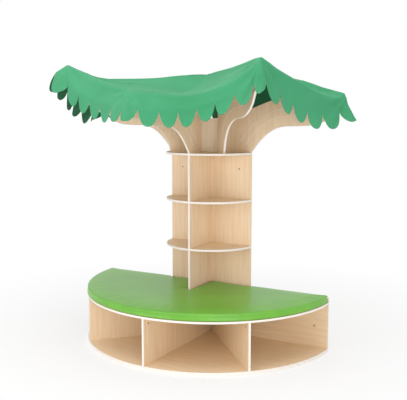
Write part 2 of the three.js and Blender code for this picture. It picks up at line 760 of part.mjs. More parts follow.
// How far the hem stands out in plan at one of its rows
function outward({ rear, span, share }, row, bulge) {
  if (rear) {
    const fromTip = Math.min(share, 1 - share) / REAR_FLARE_REACH_SHARE;
    const flare = tips[0].flare[row] * Math.max(0, 1 - fromTip) ** 2;
    return new THREE.Vector2(share > 0.5 ? -flare : flare, 0);
  }
  const from = tips[span];
  const to = tips[span + 1];
  const chord = to.plan.clone().sub(from.plan).normalize();
  const chordNormal = new THREE.Vector2(chord.y, -chord.x);
  const nearest = share < 0.5 ? from : to;
  const towardsTip = 1 - hang(share);
  const direction = chordNormal.lerp(nearest.plan.clone().normalize(), towardsTip).normalize();
  const spanFlare = SPAN_FLARE_SHARES[span][row] * WIDEST_FLARE;
  return direction.multiplyScalar(lerp(spanFlare, nearest.flare[row], towardsTip) + bulge);
}

function notchHeight({ rear, span, share }) {
  if (rear) return tips[0].notch - REAR_SAG * hang(share);
  const straight = lerp(tips[span].notch, tips[span + 1].notch, share);
  return straight - SPAN_HEM_SAG_SHARES[span] * HEM_SAG * hang(share, NOTCH_SAG_POWERS[span]);
}

function hemPoint(column, row) {
  const rim = topPoint(column, RIM);
  const depth = row ? PETAL_GAP_DEPTH + PETAL_DROP * column.depth : 0;
  const bulges = row && column.depth === 1 && !column.runsUp && !column.rear;
  const lean = outward(column, row, bulges ? PETAL_BULGE : 0);
  return new THREE.Vector3(rim.x + lean.x, rim.y + lean.y, notchHeight(column) - depth);
}

// The outer face: the middle point, rings of the columns that run up, and a hem with all columns
const coarse = columns.map((column, i) => (column.runsUp ? i : -1)).filter((i) => i >= 0);
const outerPoints = [clothMiddle.clone()];
const ringStarts = [];
for (let ring = 0; ring < RIM; ring += 1) {
  ringStarts.push(outerPoints.length);
  coarse.forEach((i) => outerPoints.push(topPoint(columns[i], ring)));
}
const hemStarts = [];
for (const place of [(c) => topPoint(c, RIM), (c) => hemPoint(c, 0), (c) => hemPoint(c, 1)]) {
  hemStarts.push(outerPoints.length);
  columns.forEach((column) => outerPoints.push(place(column)));
}

const faces = [];

function addRingFaces(upperStart, lowerStart, count) {
  for (let i = 0; i < count; i += 1) {
    const next = (i + 1) % count;
    faces.push([upperStart + i, lowerStart + i, lowerStart + next]);
    faces.push([upperStart + i, lowerStart + next, upperStart + next]);
  }
}

for (let i = 0; i < coarse.length; i += 1) {
  faces.push([0, ringStarts[0] + i, ringStarts[0] + ((i + 1) % coarse.length)]);
}
for (let ring = 0; ring + 1 < RIM; ring += 1) {
  addRingFaces(ringStarts[ring], ringStarts[ring + 1], coarse.length);
}

// From the last of these rings to the rim, each of its steps meets a few columns of the hem
const lastRing = ringStarts[RIM - 1];
coarse.forEach((start, i) => {
  const next = (i + 1) % coarse.length;
  const end = next ? coarse[next] : columns.length;
  const turn = start + Math.ceil((end - start) / 2);
  for (let column = start; column < end; column += 1) {
    const here = hemStarts[0] + column;
    const there = hemStarts[0] + ((column + 1) % columns.length);
    faces.push([lastRing + (column < turn ? i : next), here, there]);
  }
  faces.push([lastRing + i, hemStarts[0] + (turn % columns.length), lastRing + next]);
});
addRingFaces(hemStarts[0], hemStarts[1], columns.length);
addRingFaces(hemStarts[1], hemStarts[2], columns.length);

// Gives the outer face a thickness and closes it along its lower edge
function thickened(points, outerFaces, edgeStart, edgeCount, thickness) {
  const normals = points.map(() => new THREE.Vector3());
  for (const [a, b, c] of outerFaces) {
    const side = points[b].clone().sub(points[a]);
    const normal = side.cross(points[c].clone().sub(points[a]));
    [a, b, c].forEach((corner) => normals[corner].add(normal));
  }
  const inner = points.map((point, i) => {
    return point.clone().addScaledVector(normals[i].normalize(), -thickness);
  });
  const index = outerFaces.flat();
  for (const [a, b, c] of outerFaces) {
    index.push(a + points.length, c + points.length, b + points.length);
  }
  for (let i = 0; i < edgeCount; i += 1) {
    const a = edgeStart + i;
    const b = edgeStart + ((i + 1) % edgeCount);
    index.push(b, a, a + points.length, b, a + points.length, b + points.length);
  }
  const geometry = new THREE.BufferGeometry();
  const positions = [...points, ...inner].flatMap((p) => p.toArray());
  geometry.setAttribute("position", new THREE.Float32BufferAttribute(positions, 3));
  geometry.setIndex(index);
  geometry.computeVertexNormals();
  return geometry;
}

const cloth = thickened(outerPoints, faces, hemStarts[2], columns.length, CLOTH);
addMesh(bookshelf, "canopy_cloth", cloth, greenCloth);

// Hook pads on the arms' tips, that the cloth is pressed onto. Each pad reaches up from the wood
// to just under the cloth.
const HIGH_PAD_FROM_TIP = 6;
const HIGH_PAD_LENGTH = 16;
const LOW_PAD_FROM_TIP = 16;
const LOW_PAD_LENGTH = 28;
const PAD_THICKNESS = { rear: 14.4, middle: 7.4, left: 5, right: 13.8 };

// A pad along X, with its outer end a distance inside the tip
function tipPad(tipRadius, fromTip, length, height, thickness) {
  const outer = tipRadius - fromTip;
  const bottom = CROWN_FLOOR + height;
  return boxBetween([outer - length, -PAD_WIDTH / 2, bottom], [outer, PAD_WIDTH / 2, bottom + thickness]);
}

function lowPad(thickness) {
  return tipPad(LOW_TIP_RADIUS, LOW_PAD_FROM_TIP, LOW_PAD_LENGTH, LOW_TOP, thickness);
}

const rearPadRight = lowPad(PAD_THICKNESS.rear);
rearPadRight.translate(0, rearY, 0);
addMesh(bookshelf, "hook_pad_rear_right", rearPadRight, blackPad);
const rearPadLeft = lowPad(PAD_THICKNESS.rear);
rearPadLeft.rotateZ(Math.PI);
rearPadLeft.translate(0, rearY, 0);
addMesh(bookshelf, "hook_pad_rear_left", rearPadLeft, blackPad);

function addBranchPad(name, geometry) {
  geometry.rotateZ(-QUARTER_TURN);
  addMesh(branches[name], `hook_pad_${name}`, geometry, blackPad);
}

addBranchPad("middle", lowPad(PAD_THICKNESS.middle));
for (const side of ["left", "right"]) {
  const thickness = PAD_THICKNESS[side];
  const pad = tipPad(HIGH_TIP_RADIUS, HIGH_PAD_FROM_TIP, HIGH_PAD_LENGTH, HIGH_TIP_TOP, thickness);
  addBranchPad(side, pad);
}

export default bookshelf;
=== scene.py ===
"""Dresses the tree shaped bookshelf: finishes its boards and makes its cushion, cloth crown and fittings.

Everything is in metres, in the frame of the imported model: +Z up, the front faces -Y, and the
angles of the radial panels are taken from the front, positive towards +X.
"""

import math

import bmesh
import bpy
import numpy as np
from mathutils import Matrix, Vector, noise


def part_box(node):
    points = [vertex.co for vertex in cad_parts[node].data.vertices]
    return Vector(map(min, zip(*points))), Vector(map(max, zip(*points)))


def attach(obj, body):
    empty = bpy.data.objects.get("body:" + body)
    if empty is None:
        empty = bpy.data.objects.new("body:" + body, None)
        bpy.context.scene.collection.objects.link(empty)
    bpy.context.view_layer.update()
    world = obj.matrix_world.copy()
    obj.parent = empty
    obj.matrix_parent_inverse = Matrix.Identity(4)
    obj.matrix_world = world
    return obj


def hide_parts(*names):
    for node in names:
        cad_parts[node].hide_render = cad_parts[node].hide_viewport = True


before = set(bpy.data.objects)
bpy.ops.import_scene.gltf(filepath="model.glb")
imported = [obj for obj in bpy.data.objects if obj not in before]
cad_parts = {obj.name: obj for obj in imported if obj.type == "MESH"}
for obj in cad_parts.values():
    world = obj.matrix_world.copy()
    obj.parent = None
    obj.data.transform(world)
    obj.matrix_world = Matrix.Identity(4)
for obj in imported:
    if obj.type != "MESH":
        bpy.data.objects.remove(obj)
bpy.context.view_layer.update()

bl_info = {
    "name": "Tree Shaped Bookshelf",
    "version": (1, 0, 0),
    "blender": (4, 5, 0),
    "location": "3D View > Sidebar > Bookshelf",
    "description": "Boards, cushion, cloth crown and fittings of a tree shaped bookshelf",
    "category": "Object",
}

BODY = "root"

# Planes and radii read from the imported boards
crown_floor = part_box("crown_shelf")[1].z
trunk_radius = -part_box("crown_shelf_edge_band")[0].y
bench_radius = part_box("bench_bottom_edge_band")[1].x
seat_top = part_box("bench_top_board")[1].z
bench_back_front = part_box("bench_top_board")[1].y
rear_panel_low, rear_panel_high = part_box("crown_rear_panel")
fin_low, fin_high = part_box("trunk_fin")
trunk_low, trunk_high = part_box("trunk_back_panel")
panel = fin_high.x - fin_low.x
low_tip_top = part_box("branch_middle")[1].z - crown_floor
high_tip_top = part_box("branch_left")[1].z - crown_floor
low_tip_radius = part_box("rear_arm_edge_band_right")[1].x

# The high branches stand at an angle to their boxes, so this radius isn't read from them
HIGH_TIP_RADIUS = 0.884

NEARLY_ZERO = 1e-9

DIVIDER_ANGLE = math.radians(43.8)
SIDE_ANGLE = math.radians(45)
BRANCH_ANGLES = {"left": -SIDE_ANGLE, "middle": 0.0, "right": SIDE_ANGLE}


# ---------------------------------------------------------------- colours and nodes


def linear(hex_colour):
    """An sRGB hex colour as linear red, green, blue and alpha."""
    channels = [int(hex_colour[i : i + 2], 16) / 255 for i in (0, 2, 4)]
    return (*[c / 12.92 if c <= 0.04045 else ((c + 0.055) / 1.055) ** 2.4 for c in channels], 1.0)


def shades(chosen, main, hex_colours):
    """The colours of a finish, carried over from its own main colour to the chosen one."""
    ratios = [c / m for c, m in zip(chosen, linear(main))]
    return [tuple(r * s for r, s in zip(ratios, linear(shade))) for shade in hex_colours]


def add_node(tree, kind, inputs=None, steps=(), **settings):
    """Adds one node. settings are its properties, inputs its sockets by name or number.

    steps are the places and colours of a colour ramp, in rising order.
    """
    node = tree.nodes.new(kind)
    for name, value in settings.items():
        setattr(node, name, value)
    for number, (place, colour) in enumerate(steps):
        elements = node.color_ramp.elements
        element = elements[number] if number < len(elements) else elements.new(place)
        element.position = place
        element.color = linear(colour) if isinstance(colour, str) else colour
    for key, value in (inputs or {}).items():
        if isinstance(value, bpy.types.NodeSocket):
            tree.links.new(value, node.inputs[key])
        else:
            node.inputs[key].default_value = value
    return node


def new_material(name, **shader_values):
    """A material with its shader's own sockets set. Returns it, its tree and its shader."""
    material = bpy.data.materials.new(name)
    material.use_nodes = True
    tree = material.node_tree
    shader = tree.nodes["Principled BSDF"]
    for socket, value in shader_values.items():
        shader.inputs[socket.replace("_", " ")].default_value = value
    return material, tree, shader


def with_stain_or_painted_light(tree, colour, pattern, strength, overlay_colour):
    """A colour with another over it, which is as strong as the pattern's value times strength. It lays real
    stains, and also painted shade and painted sheen.
    """
    share = add_node(tree, "ShaderNodeMapRange", {"Value": pattern, "To Min": 0.0, "To Max": strength})
    both = add_node(
        tree,
        "ShaderNodeMix",
        {"Factor": share.outputs["Result"], 6: colour, 7: overlay_colour},
        data_type="RGBA",
    )
    return both.outputs[2]


def with_neutral_bounce(tree, colour, neutral):
    """The colour as it is seen, and a nearly neutral one for the light that it throws on the boards.

    In the even light of a studio, the boards beside the green pieces look hardly greener.
    """
    thrown = add_node(tree, "ShaderNodeLightPath").outputs["Is Diffuse Ray"]
    both = add_node(
        tree, "ShaderNodeMix", {"Factor": thrown, 6: colour, 7: linear(neutral)}, data_type="RGBA"
    )
    return both.outputs[2]


# ---------------------------------------------------------------- materials

MAPLE = "EFD7B5"
BAND_WHITE = "F4EEE6"
CUSHION_GREEN = "6BB234"
CLOTH_GREEN = "409B6C"


class FinishSettings(bpy.types.PropertyGroup):
    """Main colours of the finishes, which their other shades follow."""

    board_colour: bpy.props.FloatVectorProperty(
        name="Board colour",
        description="Main colour of the boards",
        default=linear(MAPLE),
        size=4,
        min=0,
        max=1,
        subtype="COLOR",
    )
    band_colour: bpy.props.FloatVectorProperty(
        name="Edge band colour",
        description="Main colour of the edge bands",
        default=linear(BAND_WHITE),
        size=4,
        min=0,
        max=1,
        subtype="COLOR",
    )
    cushion_colour: bpy.props.FloatVectorProperty(
        name="Cushion colour",
        description="Main colour of the cushion and its thread",
        default=linear(CUSHION_GREEN),
        size=4,
        min=0,
        max=1,
        subtype="COLOR",
    )
    cloth_colour: bpy.props.FloatVectorProperty(
        name="Cloth colour",
        description="Main colour of the cloth crown and its thread",
        default=linear(CLOTH_GREEN),
        size=4,
        min=0,
        max=1,
        subtype="COLOR",
    )


# The sizes of the patterns stand over each material, in metres. Real pores are a few tenths of a
# millimetre wide, too fine to show, so they are drawn coarser.
GRAIN_LENGTH = 0.26
GRAIN_WIDTH = 0.011
PORE_LENGTH = 0.03
PORE_WIDTH = 0.0016
PORE_RELIEF = 0.0002
BOARD_PATCH = 0.45


def make_maple_board(name, grain_turn, colour):
    """Maple-look board: a printed face under a clear satin film.

    Long pale streaks run with the grain, with short darker pores in them, and whole areas differ
    a little. The film is smooth, so the relief is slight.
    """
    material, tree, shader = new_material(name, Roughness=0.5, IOR=1.5)
    streak, main, pale, palest, pore, patch = shades(
        colour, MAPLE, ("E9CDAA", MAPLE, "F4DEBF", "F6E4CB", "D3B28A", "DAB88E")
    )
    place = add_node(tree, "ShaderNodeTexCoord").outputs["Object"]
    along_grain = add_node(
        tree,
        "ShaderNodeMapping",
        {"Vector": place, "Rotation": grain_turn, "Scale": (GRAIN_LENGTH, GRAIN_WIDTH, GRAIN_WIDTH)},
        vector_type="TEXTURE",
    )
    streaks = add_node(
        tree,
        "ShaderNodeTexNoise",
        {
            "Vector": along_grain.outputs[0],
            "Scale": 1.0,
            "Detail": 5.0,
            "Roughness": 0.62,
            "Distortion": 0.25,
        },
    )
    pore_place = add_node(
        tree,
        "ShaderNodeMapping",
        {"Vector": place, "Rotation": grain_turn, "Scale": (PORE_LENGTH, PORE_WIDTH, PORE_WIDTH)},
        vector_type="TEXTURE",
    )
    pores = add_node(
        tree, "ShaderNodeTexNoise", {"Vector": pore_place.outputs[0], "Scale": 1.0, "Detail": 2.0}
    )
    patches = add_node(
        tree, "ShaderNodeTexNoise", {"Vector": place, "Scale": 1 / BOARD_PATCH, "Detail": 1.0}
    )
    wood = add_node(
        tree,
        "ShaderNodeValToRGB",
        {"Fac": streaks.outputs["Fac"]},
        steps=[(0.3, streak), (0.47, main), (0.58, pale), (0.75, palest)],
    )
    with_pores = with_stain_or_painted_light(tree, wood.outputs["Color"], pores.outputs["Fac"], 0.17, pore)
    with_patches = with_stain_or_painted_light(tree, with_pores, patches.outputs["Fac"], 0.18, patch)
    tree.links.new(with_patches, shader.inputs["Base Color"])
    roughness = add_node(
        tree, "ShaderNodeMapRange", {"Value": streaks.outputs["Fac"], "To Min": 0.42, "To Max": 0.58}
    )
    tree.links.new(roughness.outputs["Result"], shader.inputs["Roughness"])
    relief = add_node(
        tree,
        "ShaderNodeBump",
        {"Height": pores.outputs["Fac"], "Strength": 0.12, "Distance": PORE_RELIEF},
    )
    tree.links.new(relief.outputs["Normal"], shader.inputs["Normal"])
    return material


TRIM_MARK = 1 / 70


def make_edge_banding(colour):
    """Off-white ABS edge band, extruded and trimmed: smooth, with faint marks of the trimming."""
    material, tree, shader = new_material("off_white_abs_edge_band", Roughness=0.38, IOR=1.53)
    mark, main = shades(colour, BAND_WHITE, ("EEE7DE", BAND_WHITE))
    place = add_node(tree, "ShaderNodeTexCoord").outputs["Object"]
    marks = add_node(
        tree, "ShaderNodeTexNoise", {"Vector": place, "Scale": 1 / TRIM_MARK, "Detail": 3.0}
    )
    white = add_node(
        tree, "ShaderNodeValToRGB", {"Fac": marks.outputs["Fac"]}, steps=[(0.3, mark), (0.7, main)]
    )
    tree.links.new(white.outputs["Color"], shader.inputs["Base Color"])
    roughness = add_node(
        tree, "ShaderNodeMapRange", {"Value": marks.outputs["Fac"], "To Min": 0.32, "To Max": 0.46}
    )
    tree.links.new(roughness.outputs["Result"], shader.inputs["Roughness"])
    return material


# Real pebbles are about a millimetre across, too fine to show, so they are drawn coarser
VINYL_CELL = 0.0022
VINYL_RELIEF = 0.0003
VINYL_WEAR_PATCH = 0.2


def make_vinyl(colour):
    """Embossed upholstery vinyl: a glossy skin over fine pebbles, which mirrors pale light at a slant."""
    material, tree, shader = new_material("embossed_green_vinyl", Roughness=0.34, IOR=1.52)
    deep, main, rubbed = shades(colour, CUSHION_GREEN, ("62A92C", CUSHION_GREEN, "74B93E"))
    place = add_node(tree, "ShaderNodeTexCoord").outputs["Object"]
    cells = add_node(tree, "ShaderNodeTexVoronoi", {"Vector": place, "Scale": 1 / VINYL_CELL})
    wear = add_node(
        tree, "ShaderNodeTexNoise", {"Vector": place, "Scale": 1 / VINYL_WEAR_PATCH, "Detail": 4.0}
    )
    green = add_node(
        tree,
        "ShaderNodeValToRGB",
        {"Fac": wear.outputs["Fac"]},
        steps=[(0.3, deep), (0.55, main), (0.75, rubbed)],
    )
    seen = with_neutral_bounce(tree, green.outputs["Color"], "B0AA90")
    tree.links.new(seen, shader.inputs["Base Color"])
    roughness = add_node(
        tree, "ShaderNodeMapRange", {"Value": wear.outputs["Fac"], "To Min": 0.28, "To Max": 0.4}
    )
    tree.links.new(roughness.outputs["Result"], shader.inputs["Roughness"])
    emboss = add_node(
        tree,
        "ShaderNodeBump",
        {"Height": cells.outputs["Distance"], "Strength": 0.18, "Distance": VINYL_RELIEF},
        invert=True,
    )
    tree.links.new(emboss.outputs["Normal"], shader.inputs["Normal"])
    return material


# Real threads are half a millimetre apart, too fine to show, so they are drawn coarser
THREAD_SPACING = 0.0024
THREAD_RELIEF = 0.0005
SLUB = 0.00625
CLOTH_FADE_PATCH = 0.3125
# The distance at which a wave texture with a scale of 1 repeats
WAVE_REPEAT = math.tau / 20
CLOTH_MAP = "cloth"
# Marks the cloth's face inside the crown, which is painted a deeper green as painted shade
PAINTED_INNER_SHADE = "inner_face"


def make_crown_cloth(colour):
    """Plain-woven polyester: matt, with a faint bloom at a slant, and painted shade: a deeper green on the
    face inside the crown.
    """
    material, tree, shader = new_material(
        "woven_green_polyester", Roughness=0.88, IOR=1.45, Sheen_Weight=0.18, Sheen_Roughness=0.5
    )
    shader.inputs["Sheen Tint"].default_value = linear("A9E8C8")
    # The last shade is painted shade for the face inside the crown, which lies in shadow
    deep, main, faded, slub, inner_shade_colour = shades(
        colour, CLOTH_GREEN, ("399364", CLOTH_GREEN, "48A173", "2F8459", "1E6B45")
    )
    flat_place = add_node(tree, "ShaderNodeUVMap", uv_map=CLOTH_MAP).outputs["UV"]
    place = add_node(tree, "ShaderNodeTexCoord").outputs["Object"]
    weave = []
    for direction in ("X", "Y"):
        threads = add_node(
            tree,
            "ShaderNodeTexWave",
            {
                "Vector": flat_place,
                "Scale": WAVE_REPEAT / THREAD_SPACING,
                "Distortion": 0.6,
                "Detail": 1.0,
            },
            bands_direction=direction,
        )
        weave.append(threads.outputs["Fac"])
    crossing = add_node(tree, "ShaderNodeMath", {0: weave[0], 1: weave[1]}, operation="MULTIPLY")
    fade = add_node(
        tree, "ShaderNodeTexNoise", {"Vector": place, "Scale": 1 / CLOTH_FADE_PATCH, "Detail": 3.0}
    )
    slubs = add_node(tree, "ShaderNodeTexNoise", {"Vector": flat_place, "Scale": 1 / SLUB, "Detail": 2.0})
    dyed = add_node(
        tree,
        "ShaderNodeValToRGB",
        {"Fac": fade.outputs["Fac"]},
        steps=[(0.3, deep), (0.5, main), (0.7, faded)],
    )
    with_slubs = with_stain_or_painted_light(tree, dyed.outputs["Color"], slubs.outputs["Fac"], 0.16, slub)
    # Painted shade: the face inside the crown takes the deeper green in full
    inner_face = add_node(tree, "ShaderNodeAttribute", attribute_name=PAINTED_INNER_SHADE)
    with_inner_shade = with_stain_or_painted_light(tree, with_slubs, inner_face.outputs["Fac"], 1.0, inner_shade_colour)
    seen = with_neutral_bounce(tree, with_inner_shade, "8A8672")
    tree.links.new(seen, shader.inputs["Base Color"])
    relief = add_node(
        tree,
        "ShaderNodeBump",
        {"Height": crossing.outputs[0], "Strength": 0.25, "Distance": THREAD_RELIEF},
    )
    tree.links.new(relief.outputs["Normal"], shader.inputs["Normal"])
    return material


THREAD_TWIST = 1 / 900


def make_thread(name, colour):
    """Sewing thread: twisted polyester, softly shiny, with a pale painted sheen in patches along it."""
    material, tree, shader = new_material(name, Roughness=0.6, Sheen_Weight=0.2)
    place = add_node(tree, "ShaderNodeTexCoord").outputs["Object"]
    sheen_along_twist = add_node(tree, "ShaderNodeTexNoise", {"Vector": place, "Scale": 1 / THREAD_TWIST})
    # Painted sheen: a pale green laid over the thread's colour in small patches
    painted_sheen = with_stain_or_painted_light(tree, colour, sheen_along_twist.outputs["Fac"], 0.4, linear("D8EFD0"))
    tree.links.new(painted_sheen, shader.inputs["Base Color"])
    return material


ZINC_MOTTLE = 1 / 600


def make_zinc():
    """Zinc die casting, tumbled and plated: grey metal with a fine soft mottle."""
    material, tree, shader = new_material("plated_zinc_casting", Metallic=1.0, Roughness=0.36)
    place = add_node(tree, "ShaderNodeTexCoord").outputs["Object"]
    mottle = add_node(
        tree, "ShaderNodeTexNoise", {"Vector": place, "Scale": 1 / ZINC_MOTTLE, "Detail": 3.0}
    )
    grey = add_node(
        tree, "ShaderNodeValToRGB", {"Fac": mottle.outputs["Fac"]}, steps=[(0.3, "6F6C68"), (0.7, "8B8883")]
    )
    tree.links.new(grey.outputs["Color"], shader.inputs["Base Color"])
    roughness = add_node(
        tree, "ShaderNodeMapRange", {"Value": mottle.outputs["Fac"], "To Min": 0.3, "To Max": 0.5}
    )
    tree.links.new(roughness.outputs["Result"], shader.inputs["Roughness"])
    return material


BEECH_FLECK = (0.001, 0.001, 0.008)


def make_beech():
    """Turned beech dowel: pale pinkish wood with short dark flecks along it."""
    material, tree, shader = new_material("turned_beech_dowel", Roughness=0.6)
    place = add_node(tree, "ShaderNodeTexCoord").outputs["Object"]
    along = add_node(
        tree, "ShaderNodeMapping", {"Vector": place, "Scale": BEECH_FLECK}, vector_type="TEXTURE"
    )
    flecks = add_node(tree, "ShaderNodeTexNoise", {"Vector": along.outputs[0], "Scale": 1.0, "Detail": 3.0})
    wood = add_node(
        tree,
        "ShaderNodeValToRGB",
        {"Fac": flecks.outputs["Fac"]},
        steps=[(0.35, "B98A5C"), (0.5, "D3AB7E"), (0.7, "DDBB92")],
    )
    tree.links.new(wood.outputs["Color"], shader.inputs["Base Color"])
    return material


HOOK_SPACING = 1 / 900
HOOK_RELIEF = 0.0006


def make_hook_pad():
    """Black hook fastener: nylon loops in close rows that catch little light."""
    material, tree, shader = new_material("black_nylon_hook_pad", Roughness=0.95, Sheen_Weight=0.3)
    place = add_node(tree, "ShaderNodeTexCoord").outputs["Object"]
    hooks = add_node(tree, "ShaderNodeTexVoronoi", {"Vector": place, "Scale": 1 / HOOK_SPACING})
    black = add_node(
        tree,
        "ShaderNodeValToRGB",
        {"Fac": hooks.outputs["Distance"]},
        steps=[(0.1, "333633"), (0.6, "1D1F1D")],
    )
    tree.links.new(black.outputs["Color"], shader.inputs["Base Color"])
    relief = add_node(
        tree,
        "ShaderNodeBump",
        {"Height": hooks.outputs["Distance"], "Strength": 0.6, "Distance": HOOK_RELIEF},
        invert=True,
    )
    tree.links.new(relief.outputs["Normal"], shader.inputs["Normal"])
    return material


LACQUER_PATCH = 1 / 90


def make_arch_line():
    """Printed line: a pale lacquer laid on the board's film, smooth and a little shinier than the board."""
    material, tree, shader = new_material("pale_lacquer_line", Roughness=0.4)
    place = add_node(tree, "ShaderNodeTexCoord").outputs["Object"]
    cover = add_node(
        tree, "ShaderNodeTexNoise", {"Vector": place, "Scale": 1 / LACQUER_PATCH, "Detail": 2.0}
    )
    pale = add_node(
        tree,
        "ShaderNodeValToRGB",
        {"Fac": cover.outputs["Fac"]},
        steps=[(0.35, "F1E2CC"), (0.65, "FBF1E2")],
    )
    tree.links.new(pale.outputs["Color"], shader.inputs["Base Color"])
    return material


# ---------------------------------------------------------------- meshes


def mesh_piece(name, vertices, faces, material):
    """A new piece at the origin, smooth-shaded, with its place in its mesh."""
    mesh = bpy.data.meshes.new(name)
    mesh.from_pydata([tuple(v) for v in vertices], [], faces)
    mesh.validate()
    mesh.shade_smooth()
    piece = bpy.data.objects.new(name, mesh)
    bpy.context.scene.collection.objects.link(piece)
    mesh.materials.append(material)
    return piece


def made_plain(piece):
    """Turns a piece and its modifiers into a plain mesh, under the same name."""
    graph = bpy.context.evaluated_depsgraph_get()
    result = bpy.data.meshes.new_from_object(piece.evaluated_get(graph), depsgraph=graph)
    piece.modifiers.clear()
    piece.data = result
    piece.data.name = piece.name
    return piece


def turned(radius, height, angle, across=0.0):
    """A point of a radial panel: its radius and height, turned by the panel's angle from the front."""
    return Vector(
        (
            radius * math.sin(angle) + across * math.cos(angle),
            -radius * math.cos(angle) + across * math.sin(angle),
            height,
        )
    )


def smooth_through(knots, values, places):
    """Values at places on a smooth curve through the knots, with no sharp turn at a knot."""
    knots, values, places = (np.asarray(x, float) for x in (knots, values, places))
    steps = np.diff(values) / np.diff(knots)
    slopes = np.concatenate([[steps[0]], (steps[:-1] + steps[1:]) / 2, [steps[-1]]])
    flat = np.concatenate([[False], steps[:-1] * steps[1:] <= 0, [False]])
    slopes[flat] = 0
    i = np.clip(np.searchsorted(knots, places) - 1, 0, len(knots) - 2)
    width = knots[i + 1] - knots[i]
    t = (places - knots[i]) / width
    return (
        values[i] * (1 + 2 * t) * (1 - t) ** 2
        + values[i + 1] * t * t * (3 - 2 * t)
        + width * (slopes[i] * t * (1 - t) ** 2 - slopes[i + 1] * t * t * (1 - t))
    )


# ---------------------------------------------------------------- geometry nodes


def new_geometry_tree(name, inputs):
    """A geometry node tree with a geometry input and output and named inputs of its own."""
    tree = bpy.data.node_groups.new(name, "GeometryNodeTree")
    tree.interface.new_socket("Geometry", in_out="INPUT", socket_type="NodeSocketGeometry")
    tree.interface.new_socket("Geometry", in_out="OUTPUT", socket_type="NodeSocketGeometry")
    for label, (kind, value) in inputs.items():
        socket = tree.interface.new_socket(label, in_out="INPUT", socket_type=kind)
        if value is not None:
            socket.default_value = value
    return tree, add_node(tree, "NodeGroupInput"), add_node(tree, "NodeGroupOutput")


def run_tree(piece, tree, **values):
    """Runs a tree on a piece with these input values, and leaves a plain mesh."""
    modifier = piece.modifiers.new(tree.name, "NODES")
    modifier.node_group = tree
    identifiers = {
        item.name: item.identifier for item in tree.interface.items_tree if item.in_out == "INPUT"
    }
    for label, value in values.items():
        modifier[identifiers[label.replace("_", " ")]] = value
    return made_plain(piece)


def finish_tree(tree, output, geometry, material):
    """Ends a tree in real geometry with its material."""
    real = add_node(tree, "GeometryNodeRealizeInstances", {"Geometry": geometry})
    finished = add_node(
        tree, "GeometryNodeSetMaterial", {"Geometry": real.outputs[0], "Material": material}
    )
    tree.links.new(finished.outputs[0], output.inputs[0])


FLOAT = "NodeSocketFloat"
MATERIAL = "NodeSocketMaterial"
FACING = "facing"
# A cam's cross slot, as a share of the disc's radius
CAM_SLOT_LENGTH = 1.3


def cam_tree():
    """A cross-slotted disc on every point, facing along the point's own direction."""
    tree, given, output = new_geometry_tree(
        "cross_slotted_cams",
        {
            "Radius": (FLOAT, 0.0075),
            "Depth": (FLOAT, 0.011),
            "Slot Width": (FLOAT, 0.0018),
            "Slot Depth": (FLOAT, 0.002),
            "Material": (MATERIAL, None),
        },
    )
    disc = add_node(
        tree,
        "GeometryNodeMeshCylinder",
        {"Vertices": 40, "Radius": given.outputs["Radius"], "Depth": given.outputs["Depth"]},
    )
    slot_length = add_node(
        tree, "ShaderNodeMath", {0: given.outputs["Radius"], 1: CAM_SLOT_LENGTH}, operation="MULTIPLY"
    )
    slot_height = add_node(
        tree, "ShaderNodeMath", {0: given.outputs["Slot Depth"], 1: 2.0}, operation="MULTIPLY"
    )
    half_depth = add_node(tree, "ShaderNodeMath", {0: given.outputs["Depth"], 1: 0.5}, operation="MULTIPLY")
    at_face = add_node(tree, "ShaderNodeCombineXYZ", {"Z": half_depth.outputs[0]})
    long_side, short_side = slot_length.outputs[0], given.outputs["Slot Width"]
    slotted = disc.outputs["Mesh"]
    for x, y in ((long_side, short_side), (short_side, long_side)):
        size = add_node(tree, "ShaderNodeCombineXYZ", {"X": x, "Y": y, "Z": slot_height.outputs[0]})
        arm = add_node(tree, "GeometryNodeMeshCube", {"Size": size.outputs[0]})
        sunk = add_node(
            tree,
            "GeometryNodeTransform",
            {"Geometry": arm.outputs["Mesh"], "Translation": at_face.outputs[0]},
        )
        cut = add_node(
            tree,
            "GeometryNodeMeshBoolean",
            {"Mesh 1": slotted, "Mesh 2": sunk.outputs[0]},
            operation="DIFFERENCE",
            solver="EXACT",
        )
        slotted = cut.outputs["Mesh"]
    facing = add_node(tree, "GeometryNodeInputNamedAttribute", {"Name": FACING}, data_type="FLOAT_VECTOR")
    turn = add_node(
        tree, "FunctionNodeAlignRotationToVector", {"Vector": facing.outputs["Attribute"]}, axis="Z"
    )
    placed = add_node(
        tree,
        "GeometryNodeInstanceOnPoints",
        {"Points": given.outputs["Geometry"], "Instance": slotted, "Rotation": turn.outputs[0]},
    )
    finish_tree(tree, output, placed.outputs[0], given.outputs["Material"])
    return tree


